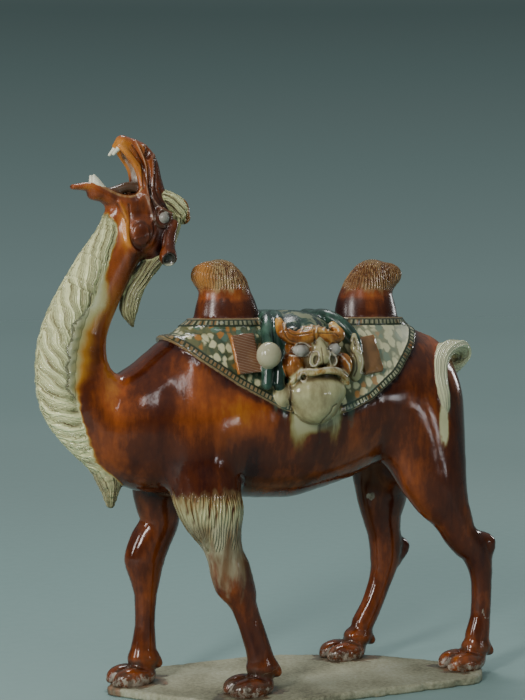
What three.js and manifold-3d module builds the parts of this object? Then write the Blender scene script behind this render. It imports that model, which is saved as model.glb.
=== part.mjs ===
// A sancai-glazed earthenware camel that stands braying on its own slab, fired as one piece.
// The camel walks towards -X and its left side is at -Y.
// The origin is on the slab's underside, midway between the feet.
// The figure is one smooth field of limbs, balls and cloth, cut into a closed mesh that is thinned out
// where it is plain.
import * as THREE from "three";
import Module from "manifold-3d";

// Driving sizes, in millimetres.
const FIGURE_HEIGHT = 868; // from the slab's top to the raised muzzle
const SLAB_THICKNESS = 13;
const SLAB_CORNER_RADIUS = 26;
const SLAB_MARGIN = 61; // from the middle of the outer feet to the slab's edge
const SOLE_DEPTH = 1.5; // how far the soles are bedded in the slab
const CLOTH_THICKNESS = 4.5;
const CLOTH_BORDER_WIDTH = 14;
const CLOTH_BORDER_RAISE = 2.2;
const BOARD_THICKNESS = 8;

// How finely the surface is worked out.
const SPANS_PER_ROW = 4;
const GRID_STEP = 3.6;
const FIGURE_TRIANGLES = 9600;

// The figure's own measures are in hundredths of its height.
const UNIT = FIGURE_HEIGHT / 100;
const CLOTH = CLOTH_THICKNESS / UNIT;
const BORDER_WIDTH = CLOTH_BORDER_WIDTH / UNIT;
const BORDER_RAISE = CLOTH_BORDER_RAISE / UNIT;
const BOARD_HALF = BOARD_THICKNESS / UNIT / 2;

// Where each foot stands: x, y.
const FEET = {
  leftFore: [-13.8, -9.0],
  rightFore: [-29.8, 7.9],
  leftHind: [31.9, -9.2],
  rightHind: [15.4, 8.5],
};

const lerp = (a, b, t) => a + (b - a) * t;
const ramp = (lo, hi, v) => THREE.MathUtils.smoothstep(v, lo, hi);
const wave = (turns) => Math.cos(turns * 2 * Math.PI);

// The smaller of two distances, rounded over the width k where they meet.
function smoothMin(a, b, k) {
  const h = Math.max(k - Math.abs(a - b), 0);
  return k > 0 ? Math.min(a, b) - (h * h) / (4 * k) : Math.min(a, b);
}

// A limb along a smooth line. Each row is x, y, z, its half-depth, and its half-width along `across`.
// `blend` is the width over which it melts into what is there, and `carve` moves its skin in and out.
function limb(blend, rows, options = {}) {
  const { across = [0, 1, 0], mirror = false, cut = false, carve = null } = options;
  const line = new THREE.CatmullRomCurve3(
    rows.map(([x, y, z]) => new THREE.Vector3(x, y, z)),
    false,
    "catmullrom",
    0.5,
  );
  const count = (rows.length - 1) * SPANS_PER_ROW;
  const stations = [];
  let along = 0;
  for (let i = 0; i <= count; i++) {
    const t = (i / count) * (rows.length - 1);
    const row = Math.min(Math.floor(t), rows.length - 2);
    const p = line.getPoint(i / count);
    if (i > 0) along += p.distanceTo(stations[i - 1].p);
    stations.push({
      p,
      along,
      depth: lerp(rows[row][3], rows[row + 1][3], t - row),
      width: lerp(rows[row][4], rows[row + 1][4], t - row),
    });
  }
  const reach = Math.max(...rows.map((r) => Math.max(r[3], r[4])));
  const box = new THREE.Box3().setFromPoints(stations.map((s) => s.p)).expandByScalar(reach);
  const [ax, ay, az] = across;
  const STRIDE = 13;
  const pieces = new Float64Array(count * STRIDE);
  for (let i = 0; i < count; i++) {
    const a = stations[i];
    const b = stations[i + 1];
    const way = b.p.clone().sub(a.p);
    pieces.set(
      [
        ...a.p.toArray(), ...way.toArray(), way.lengthSq(),
        a.depth, b.depth, a.width, b.width, a.along, b.along,
      ],
      i * STRIDE,
    );
  }
  const field = (x, y, z) => {
    let best = Infinity;
    let bestAlong = 0;
    let bestSide = 0;
    for (let o = 0; o < count * STRIDE; o += STRIDE) {
      const px = x - pieces[o];
      const py = y - pieces[o + 1];
      const pz = z - pieces[o + 2];
      const bx = pieces[o + 3];
      const by = pieces[o + 4];
      const bz = pieces[o + 5];
      const t = Math.min(1, Math.max(0, (px * bx + py * by + pz * bz) / pieces[o + 6]));
      const qx = px - t * bx;
      const qy = py - t * by;
      const qz = pz - t * bz;
      const squared = qx * qx + qy * qy + qz * qz;
      const side = qx * ax + qy * ay + qz * az;
      const depth = lerp(pieces[o + 7], pieces[o + 8], t);
      const width = lerp(pieces[o + 9], pieces[o + 10], t);
      const over = Math.max(squared - side * side, 0);
      const share = Math.sqrt(over / (depth * depth) + (side * side) / (width * width));
      const d = share > 1e-6 ? Math.sqrt(squared) * (1 - 1 / share) : -Math.min(depth, width);
      if (d < best) {
        best = d;
        bestAlong = lerp(pieces[o + 11], pieces[o + 12], t);
        bestSide = side;
      }
    }
    return carve ? best + carve(bestAlong, bestSide, x, y, z, along) : best;
  };
  return { field, box, blend, mirror, cut };
}

// An ellipsoid at c with radii r.
function ball(blend, c, r, options = {}) {
  const { mirror = false, cut = false } = options;
  const field = (x, y, z) => {
    const qx = x - c[0];
    const qy = y - c[1];
    const qz = z - c[2];
    const share = Math.hypot(qx / r[0], qy / r[1], qz / r[2]);
    return share > 1e-6 ? Math.hypot(qx, qy, qz) * (1 - 1 / share) : -Math.min(...r);
  };
  const box = new THREE.Box3(new THREE.Vector3(...c), new THREE.Vector3(...c)).expandByVector(
    new THREE.Vector3(...r),
  );
  return { field, box, blend, mirror, cut };
}

// A flat board at c with half-sizes r, leaning by `lean` about X and turned by `turn` about Y, in degrees.
function board(blend, c, r, lean, turn, options = {}) {
  const { mirror = false, carve = null } = options;
  const back = new THREE.Quaternion()
    .setFromEuler(new THREE.Euler(THREE.MathUtils.degToRad(lean), THREE.MathUtils.degToRad(turn), 0))
    .invert();
  const q = new THREE.Vector3();
  const field = (x, y, z) => {
    q.set(x - c[0], y - c[1], z - c[2]).applyQuaternion(back);
    const dx = Math.abs(q.x) - r[0];
    const dy = Math.abs(q.y) - r[1];
    const dz = Math.abs(q.z) - r[2];
    const outside = Math.hypot(Math.max(dx, 0), Math.max(dy, 0), Math.max(dz, 0));
    const d = outside + Math.min(Math.max(dx, dy, dz), 0);
    return carve ? d + carve(q) : d;
  };
  const middle = new THREE.Vector3(...c);
  const box = new THREE.Box3(middle, middle.clone()).expandByScalar(Math.hypot(...r));
  return { field, box, blend, mirror, cut: false };
}

// Carved hair: locks that slant back from a middle parting, and locks that run along a tuft.
const slantedLocks = (pitch, slant, deep) => (along, side) =>
  deep * wave((along + slant * Math.abs(side)) / pitch) * ramp(0, 1.2, Math.abs(side));
const longLocks = (pitch, deep) => (along, side, x, y, z, total) =>
  deep * wave(side / pitch) * ramp(0, 1.5, along) * ramp(0, 1, total - along);

// The trunk without its limbs: the barrel, the ridge of the back, and the two humps.
function humpCap(tipX) {
  return (along, side, x, y, z) =>
    0.13 * wave(Math.atan2(y, (x - tipX) * 0.8) * 3.6) * ramp(72.6, 74, z) * (1 - ramp(76.9, 77.8, z));
}
const FRONT_HUMP = limb(
  2.2,
  [
    [-13.9, 0, 63.5, 6.9, 5.2],
    [-14.1, 0, 67.6, 6.15, 4.6],
    [-14.3, 0, 70.0, 5.35, 4.0],
    [-14.6, 0, 72.2, 4.8, 3.7],
    [-15.5, 0, 74.0, 4.2, 3.5],
  ],
  { carve: humpCap(-15.4) },
);
const REAR_HUMP = limb(
  2.2,
  [
    [15.5, 0, 63.5, 6.9, 5.2],
    [15.4, 0, 68.0, 6.3, 4.6],
    [15.4, 0, 70.3, 5.6, 4.0],
    [15.9, 0, 72.3, 5.0, 3.7],
    [16.8, 0, 74.0, 4.5, 3.5],
  ],
  { carve: humpCap(17) },
);
const TRUNK = [
  limb(0, [
    [-31.0, 0, 46.8, 9.2, 6.8],
    [-26.5, 0, 48.2, 12.0, 8.8],
    [-20, 0, 49.2, 14.2, 10.4],
    [-12, 0, 49.0, 14.6, 11.1],
    [-3, 0, 49.2, 15.4, 11.5],
    [6, 0, 50.2, 14.2, 11.2],
    [14, 0, 51.8, 12.6, 10.6],
    [20, 0, 52.8, 11.0, 9.8],
    [25.6, 0, 53.0, 9.6, 8.6],
  ]),
  limb(5, [
    [-25.0, 0, 56.6, 5.2, 4.2],
    [-20, 0, 59.8, 6.4, 5.8],
    [-10, 0, 60.8, 5.8, 6.8],
    [0, 0, 60.4, 5.6, 7.2],
    [10, 0, 60.4, 5.4, 7.0],
    [19, 0, 60.4, 6.2, 6.0],
    [26.0, 0, 58.4, 5.4, 5.2],
  ]),
  FRONT_HUMP,
  ball(1.6, [-18.7, 0, 75.2], [2.2, 2.3, 2.1]),
  REAR_HUMP,
  ball(1.6, [20.6, 0, 75.5], [2.3, 2.3, 2.1]),
];

// The neck, thrown back, with the mane down its throat and the hair down its nape.
const NECK = [
  limb(4, [
    [-33.2, 0, 82.0, 4.0, 3.5],
    [-36.0, 0, 77.8, 4.0, 3.4],
    [-39.4, 0, 71.6, 4.2, 3.4],
    [-41.8, 0, 65.2, 4.2, 3.5],
    [-42.2, 0, 59.2, 4.7, 4.1],
    [-40.6, 0, 53.0, 6.0, 5.2],
    [-37.0, 0, 48.6, 7.6, 6.4],
    [-31.5, 0, 47.6, 9.6, 7.8],
  ]),
  limb(
    0.5,
    [
      [-36.9, 0, 85.0, 1.2, 1.5],
      [-37.5, 0, 82.0, 2.1, 2.7],
      [-40.0, 0, 77.2, 2.9, 3.5],
      [-42.7, 0, 72.0, 3.4, 3.9],
      [-45.0, 0, 67.3, 3.6, 4.1],
      [-46.3, 0, 63.2, 3.7, 4.3],
      [-46.8, 0, 59.2, 3.7, 4.4],
      [-46.6, 0, 54.6, 3.6, 4.4],
      [-45.5, 0, 51.2, 3.5, 4.3],
      [-43.4, 0, 48.2, 3.4, 4.2],
      [-41.0, 0, 45.3, 3.1, 3.9],
      [-38.5, 0, 42.6, 2.9, 3.5],
      [-37.1, 0, 38.9, 2.3, 2.7],
      [-36.9, 0, 34.6, 0.8, 1.0],
    ],
    { carve: slantedLocks(2.1, -1.1, 0.22) },
  ),
  limb(
    0.5,
    [
      [-24.2, 0, 85.4, 1.0, 2.2],
      [-25.6, 0, 81.8, 1.1, 2.3],
      [-28.0, 0, 78.2, 1.3, 2.1],
      [-30.5, 0, 75.4, 1.7, 1.6],
      [-32.3, 0, 72.6, 2.0, 1.4],
      [-33.1, 0, 69.4, 2.3, 1.2],
      [-32.8, 0, 67.5, 1.4, 0.9],
      [-32.5, 0, 66.1, 0.5, 0.5],
    ],
    { carve: longLocks(1.6, 0.14) },
  ),
];

// The head, thrown right back: skull, cheeks, the two jaws with the mouth between them, teeth, eyes and ears.
const HEAD = [
  limb(1.2, [
    [-34.8, 0, 85.8, 2.8, 2.6],
    [-31.6, 0, 83.6, 4.3, 3.3],
    [-28.8, 0, 81.6, 3.9, 3.3],
  ]),
  ball(0.4, [-31.6, -2.3, 82.7], [2.9, 1.9, 3.0], { mirror: true }),
  limb(1.6, [
    [-28.2, 0, 84.6, 3.2, 3.3],
    [-28.7, 0, 88.6, 2.6, 2.7],
    [-29.3, 0, 92.2, 2.2, 2.2],
    [-30.0, 0, 95.2, 2.1, 1.9],
    [-31.6, 0, 97.3, 1.8, 1.9],
    [-34.5, 0, 98.8, 1.2, 1.5],
  ]),
  limb(
    0.8,
    [
      [-35.3, -1.0, 98.0, 0.6, 0.6],
      [-34.2, -1.5, 96.8, 0.6, 0.6],
      [-32.2, -1.7, 94.2, 0.7, 0.6],
      [-31.5, -2.0, 91.4, 0.7, 0.7],
      [-31.4, -2.4, 89.4, 0.8, 0.8],
    ],
    { mirror: true },
  ),
  limb(1.2, [
    [-30.8, 0, 87.8, 2.6, 3.0],
    [-34.6, 0, 87.9, 1.9, 2.6],
    [-38.2, 0, 89.4, 1.3, 2.0],
    [-40.8, 0, 90.7, 0.9, 1.5],
    [-43.7, 0, 90.6, 0.5, 1.0],
  ]),
  ball(0.8, [-39.6, 0, 89.3], [1.4, 1.5, 1.0]),
  limb(
    0.4,
    [
      [-43.4, 0, 93.2, 1.9, 0.9],
      [-38.6, 0, 93.2, 2.65, 1.4],
      [-35.0, 0, 91.8, 2.6, 1.75],
      [-33.2, 0, 91.0, 1.7, 1.5],
      [-31.6, 0, 89.6, 0.9, 1.0],
    ],
    { cut: true },
  ),
  limb(
    0.3,
    [
      [-33.8, 0, 96.4, 0.8, 0.95],
      [-32.1, 0, 94.0, 1.0, 1.15],
      [-31.9, 0, 91.4, 1.1, 1.3],
    ],
    { cut: true },
  ),
  limb(0.5, [
    [-31.8, 0, 90.8, 1.1, 1.3],
    [-33.9, 0, 90.7, 1.0, 1.3],
    [-36.2, 0, 90.1, 0.8, 1.1],
    [-38.2, 0, 90.3, 0.4, 0.8],
  ]),
  limb(
    0.3,
    [
      [-39.1, -0.8, 90.3, 1.2, 0.6],
      [-39.7, -0.8, 91.6, 0.75, 0.5],
      [-40.1, -0.8, 92.6, 0.25, 0.25],
    ],
    { mirror: true },
  ),
  limb(0.2, [[-35.2, -0.9, 97.9, 0.5, 0.45], [-36.5, -1.0, 96.5, 0.25, 0.25]], { mirror: true }),
  ball(0.3, [-30.2, -2.0, 97.0], [0.6, 0.9, 1.3], { mirror: true, cut: true }),
  ball(0.7, [-27.9, -3.2, 85.5], [1.7, 1.0, 1.8], { mirror: true }),
  ball(0.3, [-28.0, -4.2, 85.4], [1.45, 0.6, 1.5], { mirror: true, cut: true }),
  ball(0.1, [-28.0, -3.4, 85.4], [1.03, 1.05, 1.03], { mirror: true }),
  limb(
    0.6,
    [
      [-28.4, 0, 89.4, 1.2, 2.0],
      [-25.9, 0, 88.4, 1.9, 2.6],
      [-23.9, 0, 87.2, 1.9, 2.6],
      [-22.9, 0, 85.7, 1.2, 1.8],
    ],
    { carve: longLocks(1.5, 0.14) },
  ),
  limb(
    0.5,
    [
      [-25.9, -3.2, 84.4, 0.8, 0.7],
      [-27.1, -3.8, 81.8, 1.15, 0.8],
      [-27.5, -4.4, 79.8, 1.2, 1.0],
      [-27.7, -4.8, 78.4, 1.6, 1.3],
    ],
    { mirror: true },
  ),
  ball(0.2, [-27.8, -5.7, 77.7], [1.05, 1.0, 1.25], { mirror: true, cut: true }),
];

// A two-toed foot below the flare of the fetlock, which is at `fetlock` with its dewclaws behind it.
function foot(at, fetlock) {
  const [x, y] = at;
  const [fx, fz] = fetlock;
  const toe = (side) => [
    ball(0.4, [x - 0.5, y + side * 1.85, 1.1], [3.7, 2.1, 2.05]),
    ball(0.3, [x - 3.6, y + side * 1.65, 0.6], [0.8, 1.0, 0.8]),
  ];
  return [
    ball(0.6, [x + 2.0, y, 1.3], [2.6, 2.9, 2.1]),
    ...toe(-1),
    ...toe(1),
    ball(0.8, [fx, y, fz], [3.1, 2.5, 2.0]),
    limb(0.8, [
      [fx, y, fz - 0.4, 2.0, 1.8],
      [(x + fx) / 2 + 0.6, y, 1.8, 2.0, 2.0],
    ]),
    ball(0.6, [fx + 2.5, y, fz - 0.9], [1.0, 1.9, 1.1]),
  ];
}

// Each leg is one limb from deep in the trunk to its fetlock. The near foreleg wears a cuff of long hair.
const cuff = (along, side, x, y, z) =>
  0.24 * wave(Math.atan2(y + 8.6, (x + 21) * 0.7) * 1.43 + 0.2 * wave(z / 9)) *
  ramp(26.5, 31, z) * (1 - ramp(35.6, 36.6, z));
const LEGS = [
  limb(
    3,
    [
      [-21.5, -5.6, 47, 7.0, 4.6],
      [-22.0, -6.8, 41, 6.4, 4.4],
      [-21.7, -7.8, 36.6, 6.4, 4.4],
      [-20.8, -8.4, 33.2, 5.7, 4.4],
      [-20.0, -8.7, 30.2, 4.35, 3.8],
      [-19.2, -8.9, 27.6, 3.6, 3.1],
      [-18.4, -8.9, 25.0, 3.4, 2.8],
      [-17.6, -9.0, 22.5, 3.8, 2.9],
      [-16.95, -9.0, 20.5, 3.75, 2.8],
      [-15.65, -9.0, 18.2, 3.05, 2.4],
      [-14.95, -9.0, 16.2, 2.4, 2.1],
      [-13.85, -9.0, 13.2, 2.25, 1.9],
      [-12.2, -9.0, 8.5, 2.3, 2.0],
      [-11.4, -9.0, 5.6, 2.5, 2.2],
    ],
    { carve: cuff },
  ),
  ...foot(FEET.leftFore, [-11.1, 4.4]),
  limb(3, [
    [-24.0, 5.6, 46, 6.2, 4.4],
    [-25.0, 6.8, 38, 5.0, 3.8],
    [-24.7, 7.4, 33.6, 4.35, 3.4],
    [-24.2, 7.6, 30.4, 3.7, 3.2],
    [-24.9, 7.8, 28.0, 3.65, 3.1],
    [-26.1, 7.9, 25.8, 3.9, 3.1],
    [-27.15, 7.9, 22.9, 3.9, 3.0],
    [-27.05, 7.9, 19.3, 2.85, 2.4],
    [-27.0, 7.9, 16.4, 2.15, 1.9],
    [-27.1, 7.9, 13.1, 1.95, 1.8],
    [-27.15, 7.9, 10.4, 1.9, 1.7],
    [-27.3, 7.9, 7.6, 2.2, 1.9],
    [-27.5, 7.9, 5.4, 2.5, 2.1],
  ]),
  ...foot(FEET.rightFore, [-27.4, 4.2]),
  ball(3, [25.4, -4.8, 46.2], [8.75, 5.4, 12.8]),
  limb(3, [
    [21.5, -4.6, 53, 8.6, 4.6],
    [22.8, -5.8, 47, 7.8, 4.6],
    [24.6, -6.8, 42.2, 7.7, 4.4],
    [25.6, -7.6, 38.4, 7.4, 4.1],
    [26.9, -8.1, 34.5, 6.0, 3.8],
    [28.7, -8.4, 31.0, 4.4, 3.3],
    [29.95, -8.7, 28.5, 3.8, 2.9],
    [31.1, -8.8, 26.1, 3.35, 2.7],
    [32.7, -9.0, 24.0, 3.1, 2.5],
    [34.25, -9.0, 22.5, 2.85, 2.4],
    [35.7, -9.1, 19.5, 2.5, 2.2],
    [36.05, -9.2, 16.3, 2.05, 1.9],
    [36.05, -9.2, 13.1, 1.95, 1.8],
    [35.8, -9.2, 9.4, 2.0, 1.8],
    [35.15, -9.2, 5.9, 2.5, 2.1],
  ]),
  limb(0.8, [
    [34.6, -9.0, 25.4, 1.0, 1.1],
    [37.5, -9.0, 23.6, 1.65, 1.5],
    [36.9, -9.1, 20.4, 1.1, 1.2],
  ]),
  ...foot(FEET.leftHind, [34.9, 3.7]),
  ball(3, [25.2, 4.8, 46.4], [8.7, 5.4, 12.8]),
  limb(3, [
    [20.5, 4.6, 52, 8.6, 4.6],
    [21.8, 6.0, 45, 7.0, 4.6],
    [22.8, 7.2, 40.4, 6.6, 4.2],
    [23.6, 7.8, 36.2, 6.2, 4.0],
    [24.0, 8.2, 31.8, 5.4, 3.6],
    [24.1, 8.4, 28.2, 4.2, 3.1],
    [24.6, 8.4, 24.6, 3.5, 2.7],
    [25.0, 8.4, 21.9, 3.5, 2.5],
    [24.9, 8.4, 19.3, 3.2, 2.4],
    [24.55, 8.4, 17.1, 2.75, 2.2],
    [23.5, 8.4, 13.8, 2.3, 2.0],
    [21.8, 8.4, 9.8, 2.15, 1.9],
    [19.75, 8.4, 6.2, 2.3, 2.0],
  ]),
  limb(0.8, [
    [26.6, 8.4, 22.8, 1.0, 1.1],
    [29.1, 8.4, 21.1, 1.3, 1.3],
    [27.4, 8.4, 18.2, 1.0, 1.1],
  ]),
  ...foot(FEET.rightHind, [18.8, 3.9]),
];

const TAIL = [
  limb(
    0.7,
    [
      [33.2, 0.8, 56.6, 1.4, 1.9],
      [35.6, 0.5, 57.2, 1.1, 2.2],
      [37.0, 0.0, 58.8, 1.0, 2.3],
      [36.6, -0.8, 60.6, 1.0, 2.2],
      [34.6, -2.2, 61.5, 1.1, 2.1],
      [31.6, -4.0, 61.3, 1.4, 1.9],
      [28.9, -5.9, 60.2, 1.7, 1.7],
      [27.1, -7.6, 58.0, 1.9, 1.6],
      [26.5, -8.9, 55.2, 1.8, 1.5],
      [26.6, -9.7, 52.7, 1.5, 1.5],
      [26.8, -9.9, 50.8, 1.0, 1.1],
      [27.0, -9.9, 49.4, 0.4, 0.5],
    ],
    { across: [0.5, -0.8, 0.33], carve: longLocks(1.3, 0.12) },
  ),
];

// The saddle cloth's lower edge on either flank, seen from the side: x, z.
const CLOTH_EDGE = [
  [-27.4, 67],
  [-27.2, 64.0],
  [-22.8, 60.2],
  [-16.2, 55.6],
  [-8.0, 51.0],
  [-1.0, 49.4],
  [5.0, 50.4],
  [10.4, 52.5],
  [16.6, 56.8],
  [21.2, 61.8],
  [24.6, 66.4],
];
const COLLAR_HEIGHT = 67.4;

// How far a point lies inside the cloth's lower edge, seen from the side; negative outside.
function insideEdge(x, z) {
  let nearest = Infinity;
  let below = false;
  for (let i = 0; i < CLOTH_EDGE.length - 1; i++) {
    const [ax, az] = CLOTH_EDGE[i];
    const [bx, bz] = CLOTH_EDGE[i + 1];
    const t = THREE.MathUtils.clamp(
      ((x - ax) * (bx - ax) + (z - az) * (bz - az)) / ((bx - ax) ** 2 + (bz - az) ** 2),
      0,
      1,
    );
    nearest = Math.min(nearest, Math.hypot(x - lerp(ax, bx, t), z - lerp(az, bz, t)));
    if (x >= ax && x < bx) below = z < lerp(az, bz, (x - ax) / (bx - ax));
  }
  const beyond = x < CLOTH_EDGE[0][0] || x >= CLOTH_EDGE.at(-1)[0];
  return beyond || below ? -nearest : nearest;
}

// The cloth lies on the trunk, its border raised, and leaves the humps bare above their collars.
function clothField(trunk, x, y, z) {
  const inside = insideEdge(x, z);
  const hump = Math.min(FRONT_HUMP.field(x, y, z), REAR_HUMP.field(x, y, z));
  const bare = Math.max(hump - 1.6, COLLAR_HEIGHT - z);
  const rim = Math.min(inside, Math.max(hump - 1.6, COLLAR_HEIGHT - z));
  const border = BORDER_RAISE * (1 - ramp(BORDER_WIDTH * 0.85, BORDER_WIDTH, rim));
  return Math.max(trunk - CLOTH - border, -inside, -bare);
}

// The load: a bag slung over the back with a beast's mask on either side, boards, rolls and a flask.
const slats = (q) => 0.1 * wave(q.z / 1.7) * ramp(0.2, 0.6, 2.2 - Math.abs(q.x));
const roll = (shift) =>
  limb(
    0.3,
    [
      [-7.2 + shift, 1, 67.8, 1.15, 1.1],
      [-8.2 + shift, -4.2, 67.5, 1.15, 1.1],
      [-9.8 + shift, -8.0, 65.0, 1.1, 1.1],
      [-10.9 + shift, -10.7, 61.0, 1.1, 1.1],
      [-11.8 + shift, -12.1, 55.8, 1.1, 1.1],
    ],
    { across: [1, 0, 0], mirror: true },
  );
const LOAD = [
  limb(
    0.8,
    [
      [-2.0, 1, 66.2, 2.6, 6.4],
      [-2.2, -4.5, 66.0, 2.6, 6.4],
      [-2.6, -8.6, 63.2, 2.5, 6.3],
      [-2.4, -10.8, 59.0, 2.3, 6.0],
      [-2.0, -11.8, 55.0, 2.4, 5.2],
    ],
    { across: [1, 0, 0], mirror: true },
  ),
  board(0.2, [-15.0, -9.9, 61.2], [2.3, BOARD_HALF, 3.6], -17, -5, { mirror: true, carve: slats }),
  board(0.2, [10.5, -9.7, 60.6], [2.0, BOARD_HALF, 3.5], -17, -9, { mirror: true, carve: slats }),
  roll(0),
  roll(2.35),
  ball(0.3, [-11.5, -12.3, 61.0], [2.3, 2.0, 2.35], { mirror: true }),
  limb(
    0.5,
    [
      [4.4, 1, 67.6, 1.2, 1.3],
      [4.2, -2.5, 67.9, 1.2, 1.3],
      [4.7, -5.0, 67.6, 1.2, 1.3],
      [6.1, -7.6, 66.2, 1.1, 1.2],
      [7.5, -9.4, 63.8, 0.9, 1.1],
      [7.8, -10.4, 61.0, 0.8, 1.0],
    ],
    { across: [1, 0, 0], mirror: true },
  ),
];
const arch = (rows) => limb(0.35, rows, { mirror: true });
const MASK = [
  ball(0.8, [-2.0, -12.0, 54.2], [6.0, 3.9, 3.5], { mirror: true }),
  ball(1.0, [-1.8, -11.7, 52.2], [4.5, 3.9, 3.8], { mirror: true }),
  ball(0.6, [-8.4, -11.4, 53.8], [1.7, 1.5, 2.2], { mirror: true }),
  ball(1.0, [-2.4, -11.8, 61.4], [5.4, 2.3, 4.8], { mirror: true }),
  ball(0.6, [-6.8, -12.5, 59.0], [2.0, 2.0, 2.4], { mirror: true }),
  ball(0.6, [3.4, -12.3, 58.9], [1.8, 2.0, 2.3], { mirror: true }),
  arch([
    [-8.6, -10.4, 67.0, 0.7, 0.7],
    [-8.4, -12.0, 65.0, 1.2, 1.1],
    [-6.3, -13.0, 63.9, 1.3, 1.1],
    [-3.9, -13.4, 64.3, 1.2, 1.0],
    [-2.3, -13.3, 65.1, 0.7, 0.7],
  ]),
  arch([
    [2.3, -10.7, 66.2, 0.7, 0.7],
    [2.9, -12.0, 64.5, 1.1, 1.0],
    [1.1, -13.0, 63.9, 1.2, 1.1],
    [-0.6, -13.4, 64.4, 1.1, 1.0],
    [-1.8, -13.3, 65.1, 0.7, 0.7],
  ]),
  ball(0.3, [-5.7, -14.4, 61.8], [1.9, 0.9, 1.35], { mirror: true, cut: true }),
  ball(0.3, [0.9, -14.4, 61.9], [1.7, 0.9, 1.35], { mirror: true, cut: true }),
  ball(0.1, [-5.7, -13.5, 61.8], [1.5, 1.15, 1.05], { mirror: true }),
  ball(0.1, [0.9, -13.5, 61.9], [1.35, 1.15, 1.05], { mirror: true }),
  limb(0.5, [[-2.1, -13.3, 63.4, 0.8, 0.8], [-2.0, -14.7, 60.7, 1.5, 1.6]], { mirror: true }),
  ball(0.3, [-3.5, -14.6, 60.1], [1.3, 1.0, 1.3], { mirror: true }),
  ball(0.3, [-0.3, -14.6, 60.1], [1.3, 1.0, 1.3], { mirror: true }),
  ball(0.2, [-3.6, -15.6, 60.1], [0.65, 0.7, 0.95], { mirror: true, cut: true }),
  ball(0.2, [-0.1, -15.6, 60.1], [0.65, 0.7, 0.95], { mirror: true, cut: true }),
  arch([
    [-7.3, -13.2, 56.2, 0.6, 0.6],
    [-6.2, -14.2, 57.7, 0.65, 0.6],
    [-4.2, -15.1, 58.2, 0.65, 0.6],
    [-0.6, -15.4, 58.4, 0.65, 0.6],
    [2.0, -14.5, 57.7, 0.65, 0.6],
    [3.5, -13.3, 55.9, 0.6, 0.6],
  ]),
  limb(
    0.3,
    [
      [-5.4, -15.2, 56.5, 0.5, 0.5],
      [-3.4, -16.0, 57.2, 0.5, 0.5],
      [-0.6, -16.3, 57.4, 0.55, 0.5],
      [1.9, -15.2, 56.5, 0.5, 0.5],
    ],
    { mirror: true, cut: true },
  ),
  ball(0.2, [-6.7, -14.6, 56.4], [0.5, 0.7, 0.6], { mirror: true, cut: true }),
  limb(
    0.4,
    [
      [6.9, -11.0, 57.0, 1.2, 1.0],
      [7.0, -11.3, 59.3, 1.5, 1.1],
      [6.7, -11.3, 61.8, 1.0, 0.9],
      [6.6, -11.0, 64.3, 0.4, 0.5],
    ],
    { mirror: true },
  ),
  ball(0.2, [6.7, -12.4, 62.7], [0.5, 0.6, 1.3], { mirror: true, cut: true }),
];

// A box of field values, one for each grid point, which starts far outside everything.
function makeGrid(box, step) {
  const size = box.getSize(new THREE.Vector3());
  const counts = [size.x, size.y, size.z].map((s) => Math.ceil(s / step) + 1);
  const values = new Float32Array(counts[0] * counts[1] * counts[2]).fill(1e3);
  return { box, step, counts, values };
}

// Works out fn at every grid point of `grid` inside `region`, given the value that is there.
function sweep(grid, region, fn) {
  const { box, step, counts, values } = grid;
  const low = [0, 1, 2].map((i) =>
    Math.max(0, Math.floor((region.min.getComponent(i) - box.min.getComponent(i)) / step)),
  );
  const high = [0, 1, 2].map((i) =>
    Math.min(counts[i] - 1, Math.ceil((region.max.getComponent(i) - box.min.getComponent(i)) / step)),
  );
  for (let k = low[2]; k <= high[2]; k++)
    for (let j = low[1]; j <= high[1]; j++)
      for (let i = low[0]; i <= high[0]; i++) {
        const n = (k * counts[1] + j) * counts[0] + i;
        values[n] = fn(values[n], box.min.x + i * step, box.min.y + j * step, box.min.z + k * step);
      }
}

// Adds shapes to the grid, each melted into what is there or cut out of it.
function addShapes(grid, shapes) {
  for (const { field, box, blend, mirror, cut } of shapes) {
    const region = box.clone().expandByScalar(blend + 2 * grid.step);
    if (mirror) {
      region.min.y = Math.min(region.min.y, -region.max.y);
      region.max.y = -region.min.y;
    }
    sweep(grid, region, (was, x, y, z) => {
      const d = field(x, mirror ? -Math.abs(y) : y, z);
      return cut ? -smoothMin(-was, d, blend) : smoothMin(was, d, blend);
    });
  }
}

// The sign patterns of a cell's eight corners that the surface crosses as one plain patch:
// both the corners inside and the corners outside hang together along the cell's edges.
const PLAIN_PATTERNS = Array.from({ length: 256 }, (_, pattern) => {
  const hangTogether = (bits) => {
    if (!bits) return true;
    let reached = bits & -bits;
    for (let turn = 0; turn < 8; turn++)
      for (let c = 0; c < 8; c++)
        if (reached & (1 << c)) for (const bit of [1, 2, 4]) reached |= bits & (1 << (c ^ bit));
    return reached === bits;
  };
  return hangTogether(pattern) && hangTogether(~pattern & 255);
});

// Fills in grid points until every cell is crossed as one plain patch, so the surface never touches itself.
function settleCells(grid) {
  const { counts, values, step } = grid;
  const [nx, ny, nz] = counts;
  const offsets = [0, 1, 2, 3, 4, 5, 6, 7].map((c) => (c & 1) + ((c >> 1) & 1) * nx + (c >> 2) * nx * ny);
  for (let changed = true; changed; ) {
    changed = false;
    for (let k = 0; k < nz - 1; k++)
      for (let j = 0; j < ny - 1; j++)
        for (let i = 0; i < nx - 1; i++) {
          const n = (k * ny + j) * nx + i;
          let pattern = 0;
          for (let c = 0; c < 8; c++) if (values[n + offsets[c]] < 0) pattern |= 1 << c;
          if (PLAIN_PATTERNS[pattern]) continue;
          let nearest = -1;
          for (const o of offsets)
            if (values[n + o] >= 0 && (nearest < 0 || values[n + o] < values[nearest])) nearest = n + o;
          values[nearest] = -step / 5;
          changed = true;
        }
  }
}

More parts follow.
